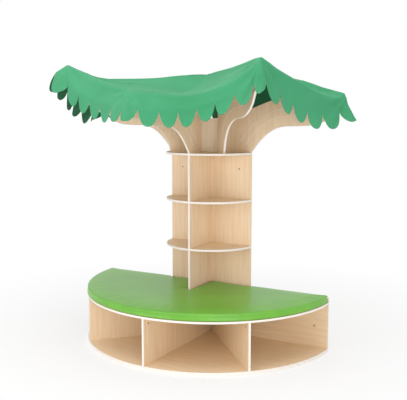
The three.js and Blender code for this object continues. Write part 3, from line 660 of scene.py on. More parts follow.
def stitch_tree():
    """Short rounded stitches end to end along every line of the piece."""
    tree, given, output = new_geometry_tree(
        "running_stitches",
        {
            "Pitch": (FLOAT, 0.006),
            "Length": (FLOAT, 0.0042),
            "Thickness": (FLOAT, 0.0007),
            "Material": (MATERIAL, None),
        },
    )
    lines = add_node(tree, "GeometryNodeMeshToCurve", {"Mesh": given.outputs["Geometry"]})
    points = add_node(
        tree,
        "GeometryNodeCurveToPoints",
        {"Curve": lines.outputs[0], "Length": given.outputs["Pitch"]},
        mode="LENGTH",
    )
    half = add_node(tree, "ShaderNodeMath", {0: given.outputs["Length"], 1: 0.5}, operation="MULTIPLY")
    back = add_node(tree, "ShaderNodeMath", {0: half.outputs[0], 1: -1.0}, operation="MULTIPLY")
    lift = add_node(tree, "ShaderNodeCombineXYZ", {"X": given.outputs["Thickness"]})
    start = add_node(tree, "ShaderNodeCombineXYZ", {"Z": back.outputs[0]})
    end = add_node(tree, "ShaderNodeCombineXYZ", {"Z": half.outputs[0]})
    arc = add_node(
        tree,
        "GeometryNodeCurveQuadraticBezier",
        {"Resolution": 3, "Start": start.outputs[0], "Middle": lift.outputs[0], "End": end.outputs[0]},
    )
    section = add_node(
        tree, "GeometryNodeCurvePrimitiveCircle", {"Resolution": 5, "Radius": given.outputs["Thickness"]}
    )
    stitch = add_node(
        tree,
        "GeometryNodeCurveToMesh",
        {"Curve": arc.outputs[0], "Profile Curve": section.outputs[0], "Fill Caps": True},
    )
    placed = add_node(
        tree,
        "GeometryNodeInstanceOnPoints",
        {
            "Points": points.outputs["Points"],
            "Instance": stitch.outputs[0],
            "Rotation": points.outputs["Rotation"],
        },
    )
    finish_tree(tree, output, placed.outputs[0], given.outputs["Material"])
    return tree


def line_tree():
    """A low flat band swept along every line of the piece."""
    tree, given, output = new_geometry_tree(
        "swept_lines",
        {"Width": (FLOAT, 0.003), "Height": (FLOAT, 0.0005), "Material": (MATERIAL, None)},
    )
    lines = add_node(tree, "GeometryNodeMeshToCurve", {"Mesh": given.outputs["Geometry"]})
    section = add_node(tree, "GeometryNodeCurvePrimitiveCircle", {"Resolution": 8, "Radius": 1.0})
    half_width = add_node(tree, "ShaderNodeMath", {0: given.outputs["Width"], 1: 0.5}, operation="MULTIPLY")
    flat = add_node(
        tree,
        "ShaderNodeCombineXYZ",
        {"X": given.outputs["Height"], "Y": half_width.outputs[0], "Z": 1.0},
    )
    oval = add_node(
        tree, "GeometryNodeTransform", {"Geometry": section.outputs[0], "Scale": flat.outputs[0]}
    )
    across = add_node(tree, "GeometryNodeInputNamedAttribute", {"Name": FACING}, data_type="FLOAT_VECTOR")
    upright = add_node(
        tree,
        "GeometryNodeSetCurveNormal",
        {"Curve": lines.outputs[0], "Normal": across.outputs["Attribute"]},
        mode="FREE",
    )
    band = add_node(
        tree,
        "GeometryNodeCurveToMesh",
        {"Curve": upright.outputs[0], "Profile Curve": oval.outputs[0], "Fill Caps": True},
    )
    finish_tree(tree, output, band.outputs[0], given.outputs["Material"])
    return tree


def line_piece(name, lines, facings=None):
    """A piece of bare lines, one for each list of points, with the direction that each line faces."""
    mesh = bpy.data.meshes.new(name)
    points = [p for line in lines for p in line]
    edges, start = [], 0
    for line in lines:
        edges += [(start + i, start + i + 1) for i in range(len(line) - 1)]
        start += len(line)
    mesh.from_pydata([tuple(p) for p in points], edges, [])
    if facings is not None:
        attribute = mesh.attributes.new(FACING, "FLOAT_VECTOR", "POINT")
        values = [c for line, facing in zip(lines, facings) for _ in line for c in facing]
        attribute.data.foreach_set("vector", values)
    piece = bpy.data.objects.new(name, mesh)
    bpy.context.scene.collection.objects.link(piece)
    return piece


# ---------------------------------------------------------------- fittings

CAM_NODES = {
    "bench_back_cam_left": (0, -1, 0),
    "bench_back_cam_right": (0, -1, 0),
    "trunk_back_cam_left": (0, -1, 0),
    "trunk_back_cam_right": (0, -1, 0),
    "divider_cam_left": (math.cos(DIVIDER_ANGLE), -math.sin(DIVIDER_ANGLE), 0),
    "divider_cam_middle": (1, 0, 0),
    "divider_cam_right": (-math.cos(DIVIDER_ANGLE), -math.sin(DIVIDER_ANGLE), 0),
}

# The arch lines follow a branch's underside at these distances inside it, and end at this share of
# the tip's height
ARCH_LINE_INSETS = (0.062, 0.104)
ARCH_LINE_TOP = 0.82
ARCH_LINE_PROUD = 0.0001
ARCH_LINE_HEIGHT = 0.0003
ARCH_LINE_SPACING = 0.004
ARCH_LINE_BACKTRACK = 0.002
FOOT_SETBACK_LOW = 0.002
FOOT_SETBACK_HIGH = 0.020

# A branch's underside as a chain of cubic curves, in shares of the way from the foot to the tip
# and of the tip's height
LOW_EDGE_SHARES = (
    (0, 0), (0.073, 0.16), (0.195, 0.465),
    (0.404, 0.474), (0.474, 0.474), (0.526, 0.474),
    (0.578, 0.48), (0.744, 0.485), (0.848, 0.552),
    (0.906, 0.727), (0.944, 0.843), (1, 0.901),
    (1, 1),
)
HIGH_EDGE_SHARES = (
    (0, 0), (0.024, 0.198), (0.13, 0.413),
    (0.44, 0.421), (0.619, 0.425), (0.774, 0.496),
    (0.844, 0.621), (0.909, 0.734), (1, 0.873),
    (1, 0.988),
)
CURVE_STEPS = 14


def underside(shares, foot, tip, height):
    """Points of a branch's underside: radius and height over the crown shelf."""
    points = np.array([(foot + along * (tip - foot), z * height) for along, z in shares])
    line = [points[0]]
    for i in range(0, len(points) - 3, 3):
        a, b, c, d = points[i : i + 4]
        for step in range(1, CURVE_STEPS + 1):
            t = step / CURVE_STEPS
            line.append((1 - t) ** 3 * a + 3 * (1 - t) ** 2 * t * b + 3 * (1 - t) * t * t * c + t**3 * d)
    return np.array(line)


def inside_line(edge, inset, top):
    """The underside moved into the wood, as far as it stays between the foot and the branch's top."""
    along = np.gradient(edge, axis=0)
    along /= np.linalg.norm(along, axis=1)[:, None]
    moved = edge + inset * np.stack([-along[:, 1], along[:, 0]], axis=1)
    moved = moved[(moved[:, 1] > 0) & (moved[:, 1] < top)]
    kept = [moved[0]]
    for point in moved[1:]:
        apart = np.linalg.norm(point - kept[-1])
        if apart > ARCH_LINE_SPACING and point[0] > kept[-1][0] - ARCH_LINE_BACKTRACK:
            kept.append(point)
    return np.array(kept)


class FittingSettings(bpy.types.PropertyGroup):
    """Sizes of the small fittings and printed lines."""

    slot_width: bpy.props.FloatProperty(
        name="Slot width", description="Width of a cam's cross slot", default=0.0018, unit="LENGTH"
    )
    line_width: bpy.props.FloatProperty(
        name="Line width", description="Width of the pale line on a branch", default=0.0038, unit="LENGTH"
    )


class BOOKSHELF_OT_finish_boards(bpy.types.Operator):
    """Give the boards, edge bands, dowels and hook pads their finishes"""

    bl_idname = "bookshelf.finish_boards"
    bl_label = "Finish boards"

    def execute(self, context):
        finishes = context.scene.bookshelf_finishes
        grain_up = make_maple_board(
            "maple_board_grain_up", (0.0, -math.pi / 2, 0.0), finishes.board_colour
        )
        grain_across = make_maple_board(
            "maple_board_grain_across", (0.0, 0.0, 0.0), finishes.board_colour
        )
        flat_boards = ("bench_bottom_board", "bench_top_board", "bench_back_panel", "crown_shelf")
        banding, beech, pad = make_edge_banding(finishes.band_colour), make_beech(), make_hook_pad()
        for name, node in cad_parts.items():
            if "band" in name:
                material = banding
            elif "dowel" in name:
                material = beech
            elif "pad" in name:
                material = pad
            elif name in flat_boards or name.startswith("shelf_"):
                material = grain_across
            else:
                material = grain_up
            node.data.materials.clear()
            node.data.materials.append(material)
        return {"FINISHED"}


class BOOKSHELF_OT_make_cams(bpy.types.Operator):
    """Make the cross-slotted cam fasteners"""

    bl_idname = "bookshelf.make_cams"
    bl_label = "Make cam fasteners"

    def execute(self, context):
        settings = context.scene.bookshelf_fittings
        centres, facings = [], []
        for name, facing in CAM_NODES.items():
            low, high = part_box(name)
            centres.append((low + high) / 2)
            facings.append(facing)
        low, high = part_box("trunk_back_cam_left")
        points = line_piece("cam_fasteners", [[c] for c in centres], facings)
        cams = run_tree(
            points,
            cam_tree(),
            Radius=(high.x - low.x) / 2,
            Depth=high.y - low.y,
            Slot_Width=settings.slot_width,
            Material=make_zinc(),
        )
        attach(cams, BODY)
        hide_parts(*CAM_NODES)
        return {"FINISHED"}


class BOOKSHELF_OT_make_arch_lines(bpy.types.Operator):
    """Make the pale lines that follow the arches on the crown's panels"""

    bl_idname = "bookshelf.make_arch_lines"
    bl_label = "Make arch lines"

    def execute(self, context):
        settings = context.scene.bookshelf_fittings
        low_edge = underside(
            LOW_EDGE_SHARES, trunk_radius - FOOT_SETBACK_LOW, low_tip_radius, low_tip_top
        )
        high_edge = underside(
            HIGH_EDGE_SHARES, trunk_radius - FOOT_SETBACK_HIGH, HIGH_TIP_RADIUS, high_tip_top
        )
        lines, facings = [], []
        across = panel / 2 + ARCH_LINE_PROUD
        for name, angle in BRANCH_ANGLES.items():
            edge, tip_top = (low_edge, low_tip_top) if name == "middle" else (high_edge, high_tip_top)
            for inset in ARCH_LINE_INSETS:
                path = inside_line(edge, inset, tip_top * ARCH_LINE_TOP)
                for side in (-1, 1):
                    lines.append([turned(r, crown_floor + z, angle, side * across) for r, z in path])
                    facings.append(turned(0, 0, angle, side))
        front = rear_panel_low.y - ARCH_LINE_PROUD
        back = rear_panel_high.y + ARCH_LINE_PROUD
        for inset in ARCH_LINE_INSETS:
            path = inside_line(low_edge, inset, low_tip_top * ARCH_LINE_TOP)
            for side in (-1, 1):
                for y, facing in ((front, (0, -1, 0)), (back, (0, 1, 0))):
                    lines.append([Vector((side * r, y, crown_floor + z)) for r, z in path])
                    facings.append(facing)
        piece = run_tree(
            line_piece("branch_arch_lines", lines, facings),
            line_tree(),
            Width=settings.line_width,
            Height=ARCH_LINE_HEIGHT,
            Material=make_arch_line(),
        )
        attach(piece, BODY)
        return {"FINISHED"}


# ---------------------------------------------------------------- cushion


class CushionSettings(bpy.types.PropertyGroup):
    """Sizes of the seat cushion."""

    height: bpy.props.FloatProperty(
        name="Side height", description="Height of the cushion's side", default=0.046, unit="LENGTH"
    )
    crown: bpy.props.FloatProperty(
        name="Crown", description="Rise of the top towards its middle", default=0.0045, unit="LENGTH"
    )
    overhang: bpy.props.FloatProperty(
        name="Overhang",
        description="How far the cushion stands past the seat",
        default=0.002,
        unit="LENGTH",
    )
    swell: bpy.props.FloatProperty(
        name="Swell", description="How far the padding may push the cover out", default=0.004, unit="LENGTH"
    )
    pressure: bpy.props.FloatProperty(
        name="Pressure", description="Pressure of the padding against the cover", default=4.0
    )
    stitch_pitch: bpy.props.FloatProperty(
        name="Stitch pitch", description="Distance between stitches", default=0.007, unit="LENGTH"
    )


# How far the cushion stays off the trunk, and off the seat and its back panel
SLOT_CLEARANCE = 0.0015
SEAT_CLEARANCE = 0.0003
ROUND_STEPS = 180
# Steps from the right end along the back edge, round the trunk's slot, and to the left end
BACK_STEPS = (36, 3, 20, 20, 3, 20, 20, 3, 36)
# A stitch as a share of the distance between stitches
SEAM_STITCH_LENGTH = 0.7
SEAM_THREAD = 0.0005

# The cushion's side from its underside to its dome: how far each row is drawn in, in metres, and
# its height as shares of the side and of the crown. A seam runs round under the top edge.
SIDE_ROWS = (
    (0.0050, 0.00, 0.0), (0.0022, 0.045, 0.0), (0.0006, 0.10, 0.0), (0.0004, 0.16, 0.0),
    (0.0018, 0.28, 0.0), (0.0030, 0.42, 0.0), (0.0032, 0.55, 0.0), (0.0022, 0.68, 0.0),
    (0.0008, 0.78, 0.0), (0.0006, 0.825, 0.0), (0.0022, 0.85, 0.0), (0.0008, 0.875, 0.0),
    (0.0014, 0.925, 0.0), (0.0042, 0.97, 0.0), (0.0090, 1.00, 0.05), (0.0170, 1.00, 0.22),
    (0.0300, 1.00, 0.45), (0.0480, 1.00, 0.72), (0.0680, 1.00, 0.94), (0.0820, 1.00, 1.0),
)
SEAM_ROW = 10


def cushion_outline(inset, overhang):
    """The cushion's outline drawn in by an inset: round the half disc, then into the trunk's slot."""
    radius = bench_radius + overhang - inset
    back = bench_back_front - SEAT_CLEARANCE - inset
    slot_x = trunk_high.x + SLOT_CLEARANCE + inset
    slot_y = trunk_low.y - SLOT_CLEARANCE - inset
    fin_x = fin_high.x + SLOT_CLEARANCE + inset
    fin_y = -trunk_radius - SLOT_CLEARANCE - inset
    sweep = math.acos(-back / radius)
    points = [
        (radius * math.sin(a), -radius * math.cos(a))
        for a in (-sweep + 2 * sweep * i / ROUND_STEPS for i in range(ROUND_STEPS + 1))
    ]
    slot_corners = [
        (slot_x, back), (slot_x, slot_y), (fin_x, slot_y), (fin_x, fin_y),
        (-fin_x, fin_y), (-fin_x, slot_y), (-slot_x, slot_y), (-slot_x, back),
    ]
    ends = [points[-1], *slot_corners, points[0]]
    for (a, b), count in zip(zip(ends, ends[1:]), BACK_STEPS):
        points += [
            (a[0] + (b[0] - a[0]) * i / count, a[1] + (b[1] - a[1]) * i / count)
            for i in range(1, count + 1)
        ]
    return points[:-1]


def make_cushion_mesh(settings, material):
    """The cushion's closed form: rows of outlines, with its top and underside filled.

    Returns the piece and the points of its seam.
    """
    rows = []
    for inset, side, crown in SIDE_ROWS:
        z = seat_top + SEAT_CLEARANCE + side * settings.height + crown * settings.crown
        rows.append([(x, y, z) for x, y in cushion_outline(inset, settings.overhang)])
    count = len(rows[0])
    vertices = [v for row in rows for v in row]
    faces = []
    for row in range(len(rows) - 1):
        for i in range(count):
            a, b = row * count + i, row * count + (i + 1) % count
            faces.append((a, b, b + count, a + count))
    faces.append(tuple(reversed(range(count))))
    faces.append(tuple((len(rows) - 1) * count + i for i in range(count)))
    piece = mesh_piece("seat_cushion_cover", vertices, faces, material)
    shape = bmesh.new()
    shape.from_mesh(piece.data)
    caps = [f for f in shape.faces if len(f.verts) > 4]
    bmesh.ops.triangulate(shape, faces=caps, ngon_method="BEAUTY")
    bmesh.ops.recalc_face_normals(shape, faces=shape.faces)
    shape.to_mesh(piece.data)
    shape.free()
    return piece, [Vector(v) for v in rows[SEAM_ROW]]


# The cover is held up to HELD_HEIGHT over the seat while the padding pushes
PADDING_CELL = 0.008
PADDING_FRAMES = 20
HELD_HEIGHT = 0.006


def swell_cushion(cushion, settings):
    """Lets padding push the cover out like cloth under pressure, held where it lies on the seat."""
    cells = cushion.modifiers.new("even cells", "REMESH")
    cells.mode = "VOXEL"
    cells.voxel_size = PADDING_CELL
    made_plain(cushion)
    count = len(cushion.data.vertices)
    start = np.empty(3 * count)
    cushion.data.vertices.foreach_get("co", start)
    start = start.reshape(-1, 3)
    held = cushion.vertex_groups.new(name="held")
    low = seat_top + HELD_HEIGHT
    held.add([int(i) for i in np.nonzero(start[:, 2] < low)[0]], 1.0, "REPLACE")
    cloth = cushion.modifiers.new("padding", "CLOTH")
    cloth.settings.use_pressure = True
    cloth.settings.uniform_pressure_force = settings.pressure
    cloth.settings.vertex_group_mass = held.name
    cloth.settings.effector_weights.gravity = 0
    for number in range(1, PADDING_FRAMES + 1):
        bpy.context.scene.frame_set(number)
    made_plain(cushion)
    bpy.context.scene.frame_set(1)
    end = np.empty(3 * count)
    cushion.data.vertices.foreach_get("co", end)
    moved = end.reshape(-1, 3) - start
    length = np.maximum(np.linalg.norm(moved, axis=1), NEARLY_ZERO)[:, None]
    capped = start + moved / length * settings.swell * np.tanh(length / settings.swell)
    cushion.data.vertices.foreach_set("co", capped.ravel())
    cushion.data.update()
    cushion.data.shade_smooth()


class BOOKSHELF_OT_make_cushion(bpy.types.Operator):
    """Make the vinyl seat cushion and its seam"""

    bl_idname = "bookshelf.make_cushion"
    bl_label = "Make cushion"

    def execute(self, context):
        settings = context.scene.bookshelf_cushion
        green = context.scene.bookshelf_finishes.cushion_colour
        (thread_green,) = shades(green, CUSHION_GREEN, ("5E9E33",))
        cushion, seam = make_cushion_mesh(settings, make_vinyl(green))
        swell_cushion(cushion, settings)
        seam = [cushion.closest_point_on_mesh(point)[1] for point in seam]
        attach(cushion, BODY)
        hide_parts("seat_cushion")
        stitches = run_tree(
            line_piece("cushion_seam_stitches", [seam]),
            stitch_tree(),
            Pitch=settings.stitch_pitch,
            Length=settings.stitch_pitch * SEAM_STITCH_LENGTH,
            Thickness=SEAM_THREAD,
            Material=make_thread("green_seam_thread", thread_green),
        )
        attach(stitches, BODY)
        return {"FINISHED"}


# ---------------------------------------------------------------- cloth crown


class CrownSettings(bpy.types.PropertyGroup):
    """Sizes of the cloth crown."""

    petal_depth: bpy.props.FloatProperty(
        name="Petal depth", description="Depth of a petal under its notches", default=0.084, unit="LENGTH"
    )
    cloth_thickness: bpy.props.FloatProperty(
        name="Cloth thickness", description="Thickness of the cloth", default=0.0016, unit="LENGTH"
    )
    wrinkle: bpy.props.FloatProperty(
        name="Wrinkle", description="Height of the small folds", default=0.0035, unit="LENGTH"
    )
    fan_fold: bpy.props.FloatProperty(
        name="Fan fold",
        description="Height of the folds that fan out of the tips",
        default=0.006,
        unit="LENGTH",
    )


# Heights, sags and reaches of the cloth, in metres, as in the part
CLOTH_RISE = 0.482
CLOTH_RIDE = 0.011
CLOTH_PEAK = 0.026
CLOTH_MIDDLE_FORWARD = 0.060
CLOTH_PAST_TIP = 0.010
REAR_CLOTH_OFF = 0.0045
HEM_DEPTH = 0.092
HEM_SAG = 0.095
REAR_SAG = 0.022
PETAL_GAP_DEPTH = 0.007
DEEPEST_SAG = 0.108
WIDEST_FLARE = 0.108

# Petals between the tips, from the left rear tip round the front, and between the two rear tips
SPAN_PETALS = (5, 6, 6, 5)
REAR_PETALS = 12
COLUMNS_PER_PETAL = 14

# Flaps hang over most tips: how far each reaches before its tip and after it, in the same order
TIP_FLAPS = ((0.04, 0.04), (0, 0), (0.02, 0.06), (0.04, 0.04), (0.05, 0.05))

# A petal's edge is rounded by two powers. From petal to petal its length, its lean to one side and
# the curl of its end vary with the sine of the petal's number times a turn.
PETAL_ROUNDNESS = (2.4, 0.75)
PETAL_LENGTH_CHANGES = ((0.05, 2.4), (0.03, 5.1))
LONGEST_PETAL = 1.03
PETAL_SKEW, SKEW_TURN = 0.16, 2.9
PETAL_BULGE = 0.006
CURL_CHANGE, CURL_TURN = 0.9, 3.7

# Heights of the ridges at places from the middle to the rim, as shares of the cloth's rise
RIDGE_KNOTS = (0, 0.16, 0.38, 0.7, 0.86, 1)
RIDGE_SHARES = {
    "rear": (0.985, 0.965, 0.9, 0.8),
    "left": (0.989, 0.948, 0.933, 0.985),
    "middle": (0.851, 0.745, 0.738, 0.738),
    "right": (1.015, 1.025, 1.056, 1.079),
    "rear_middle": (0.996, 0.992, 0.985, 0.98),
}
REAR_MIDDLE_RIM_SHARE = 0.975

# How deep the top sags in each span, as a share of the deepest sag, how steeply it falls and rises
# there, and how far a sag draws the cloth in
SPAN_SAG_SHARES = (0.556, 0.204, 1, 0.45)
SAG_POWERS = ((1, 1), (1, 1), (1.1, 0.75), (1.2, 0.5))
INWARD_SAG_SHARE = 0.15
REAR_FALL_POWER = 1.6

# How far the hem stands out at its notches and at its petals' ends, at the tips and between them,
# and how far its notches lie under the rim
FLARE_SHARES = {"rear": (0.16, 0.64), "left": (0.62, 1.2), "middle": (0.7, 0.9), "right": (0, 0.1)}
SPAN_FLARE_SHARES = ((0.9, 1.15), (0.5, 0.55), (0.4, 0.45), (-0.15, -0.2))
REAR_FLARE_REACH_SHARE = 0.05
NOTCH_DROP_SHARES = {"rear": 0.685, "left": 0.49, "middle": 0.707, "right": 1}
SPAN_HEM_SAG_SHARES = (0.6, 0.8, 1, 1)
NOTCH_SAG_POWERS = ((0.6, 2.2), (1, 1), (1, 1), (1.3, 0.8))

# Places of the rows of points: from the middle to the rim, from there to the line of the notches,
# and from there to the petals' edge
TOP_SHARES = (
    0.03, 0.07, 0.12, 0.18, 0.25, 0.33, 0.41, 0.49, 0.57,
    0.65, 0.72, 0.79, 0.85, 0.9, 0.94, 0.97, 0.99, 1,
)
RIM_ROW = len(TOP_SHARES) - 1
HEM_SHARES = (0.05, 0.12, 0.22, 0.36, 0.52, 0.68, 0.84, 1)
PETAL_SHARES = (0.12, 0.27, 0.43, 0.59, 0.74, 0.87, 0.95, 1)

# The fold at the rim is rounded from RIM_ROWS_ABOVE over it to RIM_ROWS_BELOW under it, and the
# ridges in the rows that end RIDGE_ROWS_BELOW under it. A point takes a share of each neighbour.
RIM_ROWS_ABOVE, RIM_ROWS_BELOW, RIM_PASSES = 4, 5, 3
RIM_NEIGHBOUR_SHARE = 0.25
RIDGE_ROWS_BELOW = 4
RIDGE_NEIGHBOUR_SHARE = 0.2

HEM_STITCH_PITCH = 0.008
HEM_STITCH_LENGTH = 0.0055
HEM_THREAD = 0.0006


def hang(share, powers=(1, 1)):
    """Rises from 0 to 1 and falls to 0 again between the tips of a span."""
    rise, fall = powers
    peak = rise / (rise + fall)
    return (share / peak) ** rise * (max(1 - share, 0) / (1 - peak)) ** fall


class ClothCrown:
    """Works out the cloth's outer face: columns go round the rim, and rows down from the middle."""

    def __init__(self, settings):
        self.settings = settings
        self.middle = np.array([0, -CLOTH_MIDDLE_FORWARD, crown_floor + CLOTH_RISE])
        low_rim = crown_floor + low_tip_top + CLOTH_RIDE
        high_rim = crown_floor + high_tip_top + CLOTH_PEAK
        self.low_reach = low_tip_radius + CLOTH_PAST_TIP
        high_reach = HIGH_TIP_RADIUS + CLOTH_PAST_TIP
        rims = {
            "rear": low_rim,
            "left": high_rim,
            "middle": low_rim,
            "right": high_rim,
            "rear_middle": crown_floor + REAR_MIDDLE_RIM_SHARE * CLOTH_RISE,
        }
        self.ridges = {
            name: [crown_floor + s * CLOTH_RISE for s in (1, *shares)] + [rims[name]]
            for name, shares in RIDGE_SHARES.items()
        }
        arm_y = rear_panel_low.y
        self.tips = [
            (np.array([-self.low_reach, arm_y]), "rear"),
            (np.array(turned(high_reach, 0, -SIDE_ANGLE)[:2]), "left"),
            (np.array(turned(self.low_reach, 0, 0)[:2]), "middle"),
            (np.array(turned(high_reach, 0, SIDE_ANGLE)[:2]), "right"),
            (np.array([self.low_reach, arm_y]), "rear"),
        ]
        self.notches = {name: rims[name] - share * HEM_DEPTH for name, share in NOTCH_DROP_SHARES.items()}
        self.rear_y = rear_panel_high.y + REAR_CLOTH_OFF
        self.columns = []
        self.tip_columns = []
        number = 0
        for span, petals in enumerate(SPAN_PETALS):
            self.tip_columns.append(len(self.columns))
            length = np.linalg.norm(self.tips[span + 1][0] - self.tips[span][0])
            flaps = TIP_FLAPS[span][1] / length, TIP_FLAPS[span + 1][0] / length
            self.add_columns(petals, flaps, span, number)
            number += petals + 1
        self.columns.append((len(SPAN_PETALS) - 1, 1.0, number, 0.5))
        self.tip_columns.append(len(self.columns))
        length = 2 * self.low_reach
        flaps = TIP_FLAPS[-1][1] / length, TIP_FLAPS[0][0] / length
        self.add_columns(REAR_PETALS, flaps, None, number)
        self.columns.append((None, 1.0, 0, 0.5))

    def add_columns(self, petals, flaps, span, first):
        """Columns from tip to tip: half a flap, the petals, and half of the next tip's flap.

        Each is its span, its share of the way, its petal's number and its place in the petal.
        """
        after, before = flaps
        notches = [-after, *np.linspace(after, 1 - before, petals + 1), 1 + before]
        half = COLUMNS_PER_PETAL // 2
        start = half if after else COLUMNS_PER_PETAL
        end = COLUMNS_PER_PETAL * (petals + 1) + (half if before else 0)
        for step in range(start, end):
            petal, part = divmod(step, COLUMNS_PER_PETAL)
            place = (1 - math.cos(math.pi * part / COLUMNS_PER_PETAL)) / 2
            share = notches[petal] + (notches[petal + 1] - notches[petal]) * place
            self.columns.append((span, max(share, 0.0), first + petal, place))

    def ridge(self, name, share):
        """Height of a ridge at a share of the way from the middle to the rim."""
        return float(smooth_through(RIDGE_KNOTS, self.ridges[name], [share])[0])

    def top(self, column, ring):
        """A point of the top at a share of the way from the middle to the rim."""
        span, share = column[:2]
        if span is None:
            rise = 1 - abs(2 * share - 1) ** REAR_FALL_POWER
            low, high = self.ridge("rear", ring), self.ridge("rear_middle", ring)
            return np.array(
                [
                    self.low_reach * (1 - 2 * share) * ring,
                    self.middle[1] + (self.rear_y - self.middle[1]) * ring,
                    low + (high - low) * rise,
                ]
            )
        (from_plan, from_name), (to_plan, to_name) = self.tips[span], self.tips[span + 1]
        sag = SPAN_SAG_SHARES[span] * DEEPEST_SAG * ring * hang(share, SAG_POWERS[span])
        centre = self.middle[:2]
        plan = centre + ring * (from_plan + (to_plan - from_plan) * share - centre)
        distance = np.linalg.norm(centre - plan)
        plan = plan + (centre - plan) / max(distance, NEARLY_ZERO) * INWARD_SAG_SHARE * sag
        low, high = self.ridge(from_name, ring), self.ridge(to_name, ring)
        return np.array([plan[0], plan[1], low + (high - low) * share - sag])

    def lean(self, column, row, bulge=0.0):
        """How far the hem stands out in plan at its notches (0) or at its petals' ends (1)."""
        span, share = column[:2]
        if span is None:
            near_end = max(0.0, 1 - min(share, 1 - share) / REAR_FLARE_REACH_SHARE) ** 2
            side = 1 if share < 0.5 else -1
            return np.array([side * near_end * FLARE_SHARES["rear"][row] * WIDEST_FLARE, 0])
        (from_plan, from_name), (to_plan, to_name) = self.tips[span], self.tips[span + 1]
        chord = (to_plan - from_plan) / np.linalg.norm(to_plan - from_plan)
        normal = np.array([chord[1], -chord[0]])
        tip, name = (from_plan, from_name) if share < 0.5 else (to_plan, to_name)
        towards_tip = 1 - hang(share)
        direction = normal + (tip / np.linalg.norm(tip) - normal) * towards_tip
        reach = SPAN_FLARE_SHARES[span][row]
        reach += (FLARE_SHARES[name][row] - reach) * towards_tip
        return direction / np.linalg.norm(direction) * (reach * WIDEST_FLARE + bulge)

    def notch_height(self, column):
        """Height of the line on which the notches between the petals lie."""
        span, share = column[:2]
        if span is None:
            return self.notches["rear"] - REAR_SAG * hang(share)
        first, last = (self.notches[self.tips[i][1]] for i in (span, span + 1))
        sag = SPAN_HEM_SAG_SHARES[span] * HEM_SAG * hang(share, NOTCH_SAG_POWERS[span])
        return first + (last - first) * share - sag

    def petal_outline(self, column):
        """Depth of the hem's edge under its notch line: a row of tongues, each a little different."""
        number, place = column[2:]
        length = 1
        for change, turn in PETAL_LENGTH_CHANGES:
            length += change * math.sin(number * turn)
        across = 2 * place - 1
        across += PETAL_SKEW * math.sin(number * SKEW_TURN) * (1 - across * across)
        side_power, end_power = PETAL_ROUNDNESS
        round_end = max(0.0, 1 - abs(across) ** side_power) ** end_power
        return PETAL_GAP_DEPTH + self.settings.petal_depth * round_end * min(length, LONGEST_PETAL)

    def hem(self, column, rim, below_notch, share):
        """A point of the hem: share of the way from rim to notch line, or from there to the edge."""
        notch = np.array([*(rim[:2] + self.lean(column, 0)), self.notch_height(column)])
        if not below_notch:
            return rim + (notch - rim) * share
        number, place = column[2:]
        out = math.sin(math.pi * place) ** 2
        curl = PETAL_BULGE * out * (1 + CURL_CHANGE * math.sin(number * CURL_TURN + 1)) * share * share
        depth = self.petal_outline(column)
        full = depth / (PETAL_GAP_DEPTH + self.settings.petal_depth)
        first, last = self.lean(column, 0, curl), self.lean(column, 1, curl)
        lean = first + (last - first) * full * share
        return np.array([*(rim[:2] + lean), notch[2] - depth * share])

    def grid(self):
        """The outer face as rows of points, the rim among them, without the middle point."""
        rows = [[self.top(c, share) for c in self.columns] for share in TOP_SHARES]
        rim = rows[-1]
        for share in HEM_SHARES:
            rows.append([self.hem(c, r, False, share) for c, r in zip(self.columns, rim)])
        for share in PETAL_SHARES:
            rows.append([self.hem(c, r, True, share) for c, r in zip(self.columns, rim)])
        return self.softened(np.array(rows))

    def softened(self, grid):
        """Rounds the fold at the rim, and the ridges a little."""
        first, last = RIM_ROW - RIM_ROWS_ABOVE, RIM_ROW + RIM_ROWS_BELOW
        share = RIM_NEIGHBOUR_SHARE
        for _ in range(RIM_PASSES):
            above, own, below = (grid[first + i : last + i + 1] for i in (-1, 0, 1))
            grid[first : last + 1] = (1 - 2 * share) * own + share * above + share * below
        upper = grid[: RIM_ROW + RIDGE_ROWS_BELOW]
        before, after = (np.roll(upper, i, axis=1) for i in (1, -1))
        share = RIDGE_NEIGHBOUR_SHARE
        grid[: RIM_ROW + RIDGE_ROWS_BELOW] = (1 - 2 * share) * upper + share * before + share * after
        return grid


# Small folds: how many there are in a metre, and how high the fine ones are beside the long ones.
# They are lower near the middle, where the cloth is taut.
LONG_FOLDS = (5.0, 5.0, 2.2)
LONG_FOLD_SHIFT = (3.1, 0, 0)
FINE_FOLDS = (14.0, 14.0, 6.0)
FINE_FOLD_SHARE = 0.45
MIDDLE_FOLD_SHARE = 0.35

# Folds that fan out from the tips: how many go round a tip, how each tip's are turned against the
# last one's, and at what distances they fade. The rear ones are low, because the panel is close.
FANNED_FOLDS = 11
FOLD_TURN = 1.7
FOLD_REACH = 0.36
FOLD_START = 0.09
REAR_FOLD_SHARE = 0.25


def wrinkles(point, share, height):
    """Height of the small folds at a point of the cloth: long soft ones, with finer ones on them."""
    long_place = Vector([p * folds for p, folds in zip(point, LONG_FOLDS)]) + Vector(LONG_FOLD_SHIFT)
    fine_place = Vector([p * folds for p, folds in zip(point, FINE_FOLDS)])
    return height * share * (noise.noise(long_place) + FINE_FOLD_SHARE * noise.noise(fine_place))


def fan_folds(along, below, tip_columns):
    """Height of the folds that fan out from the five tips, by places along the rim and below it."""
    total, along = along[-1], along[:-1]
    heights = np.zeros(below.shape)
    for number, column in enumerate(tip_columns):
        tip = along[column]
        off = (along - tip + total / 2) % total - total / 2
        reach = np.hypot(off, below)
        waves = np.sin(FANNED_FOLDS * np.arctan2(below, off) + FOLD_TURN * number)
        heights += waves * np.exp(-((reach / FOLD_REACH) ** 2)) * np.minimum(reach / FOLD_START, 1) ** 2
    return heights


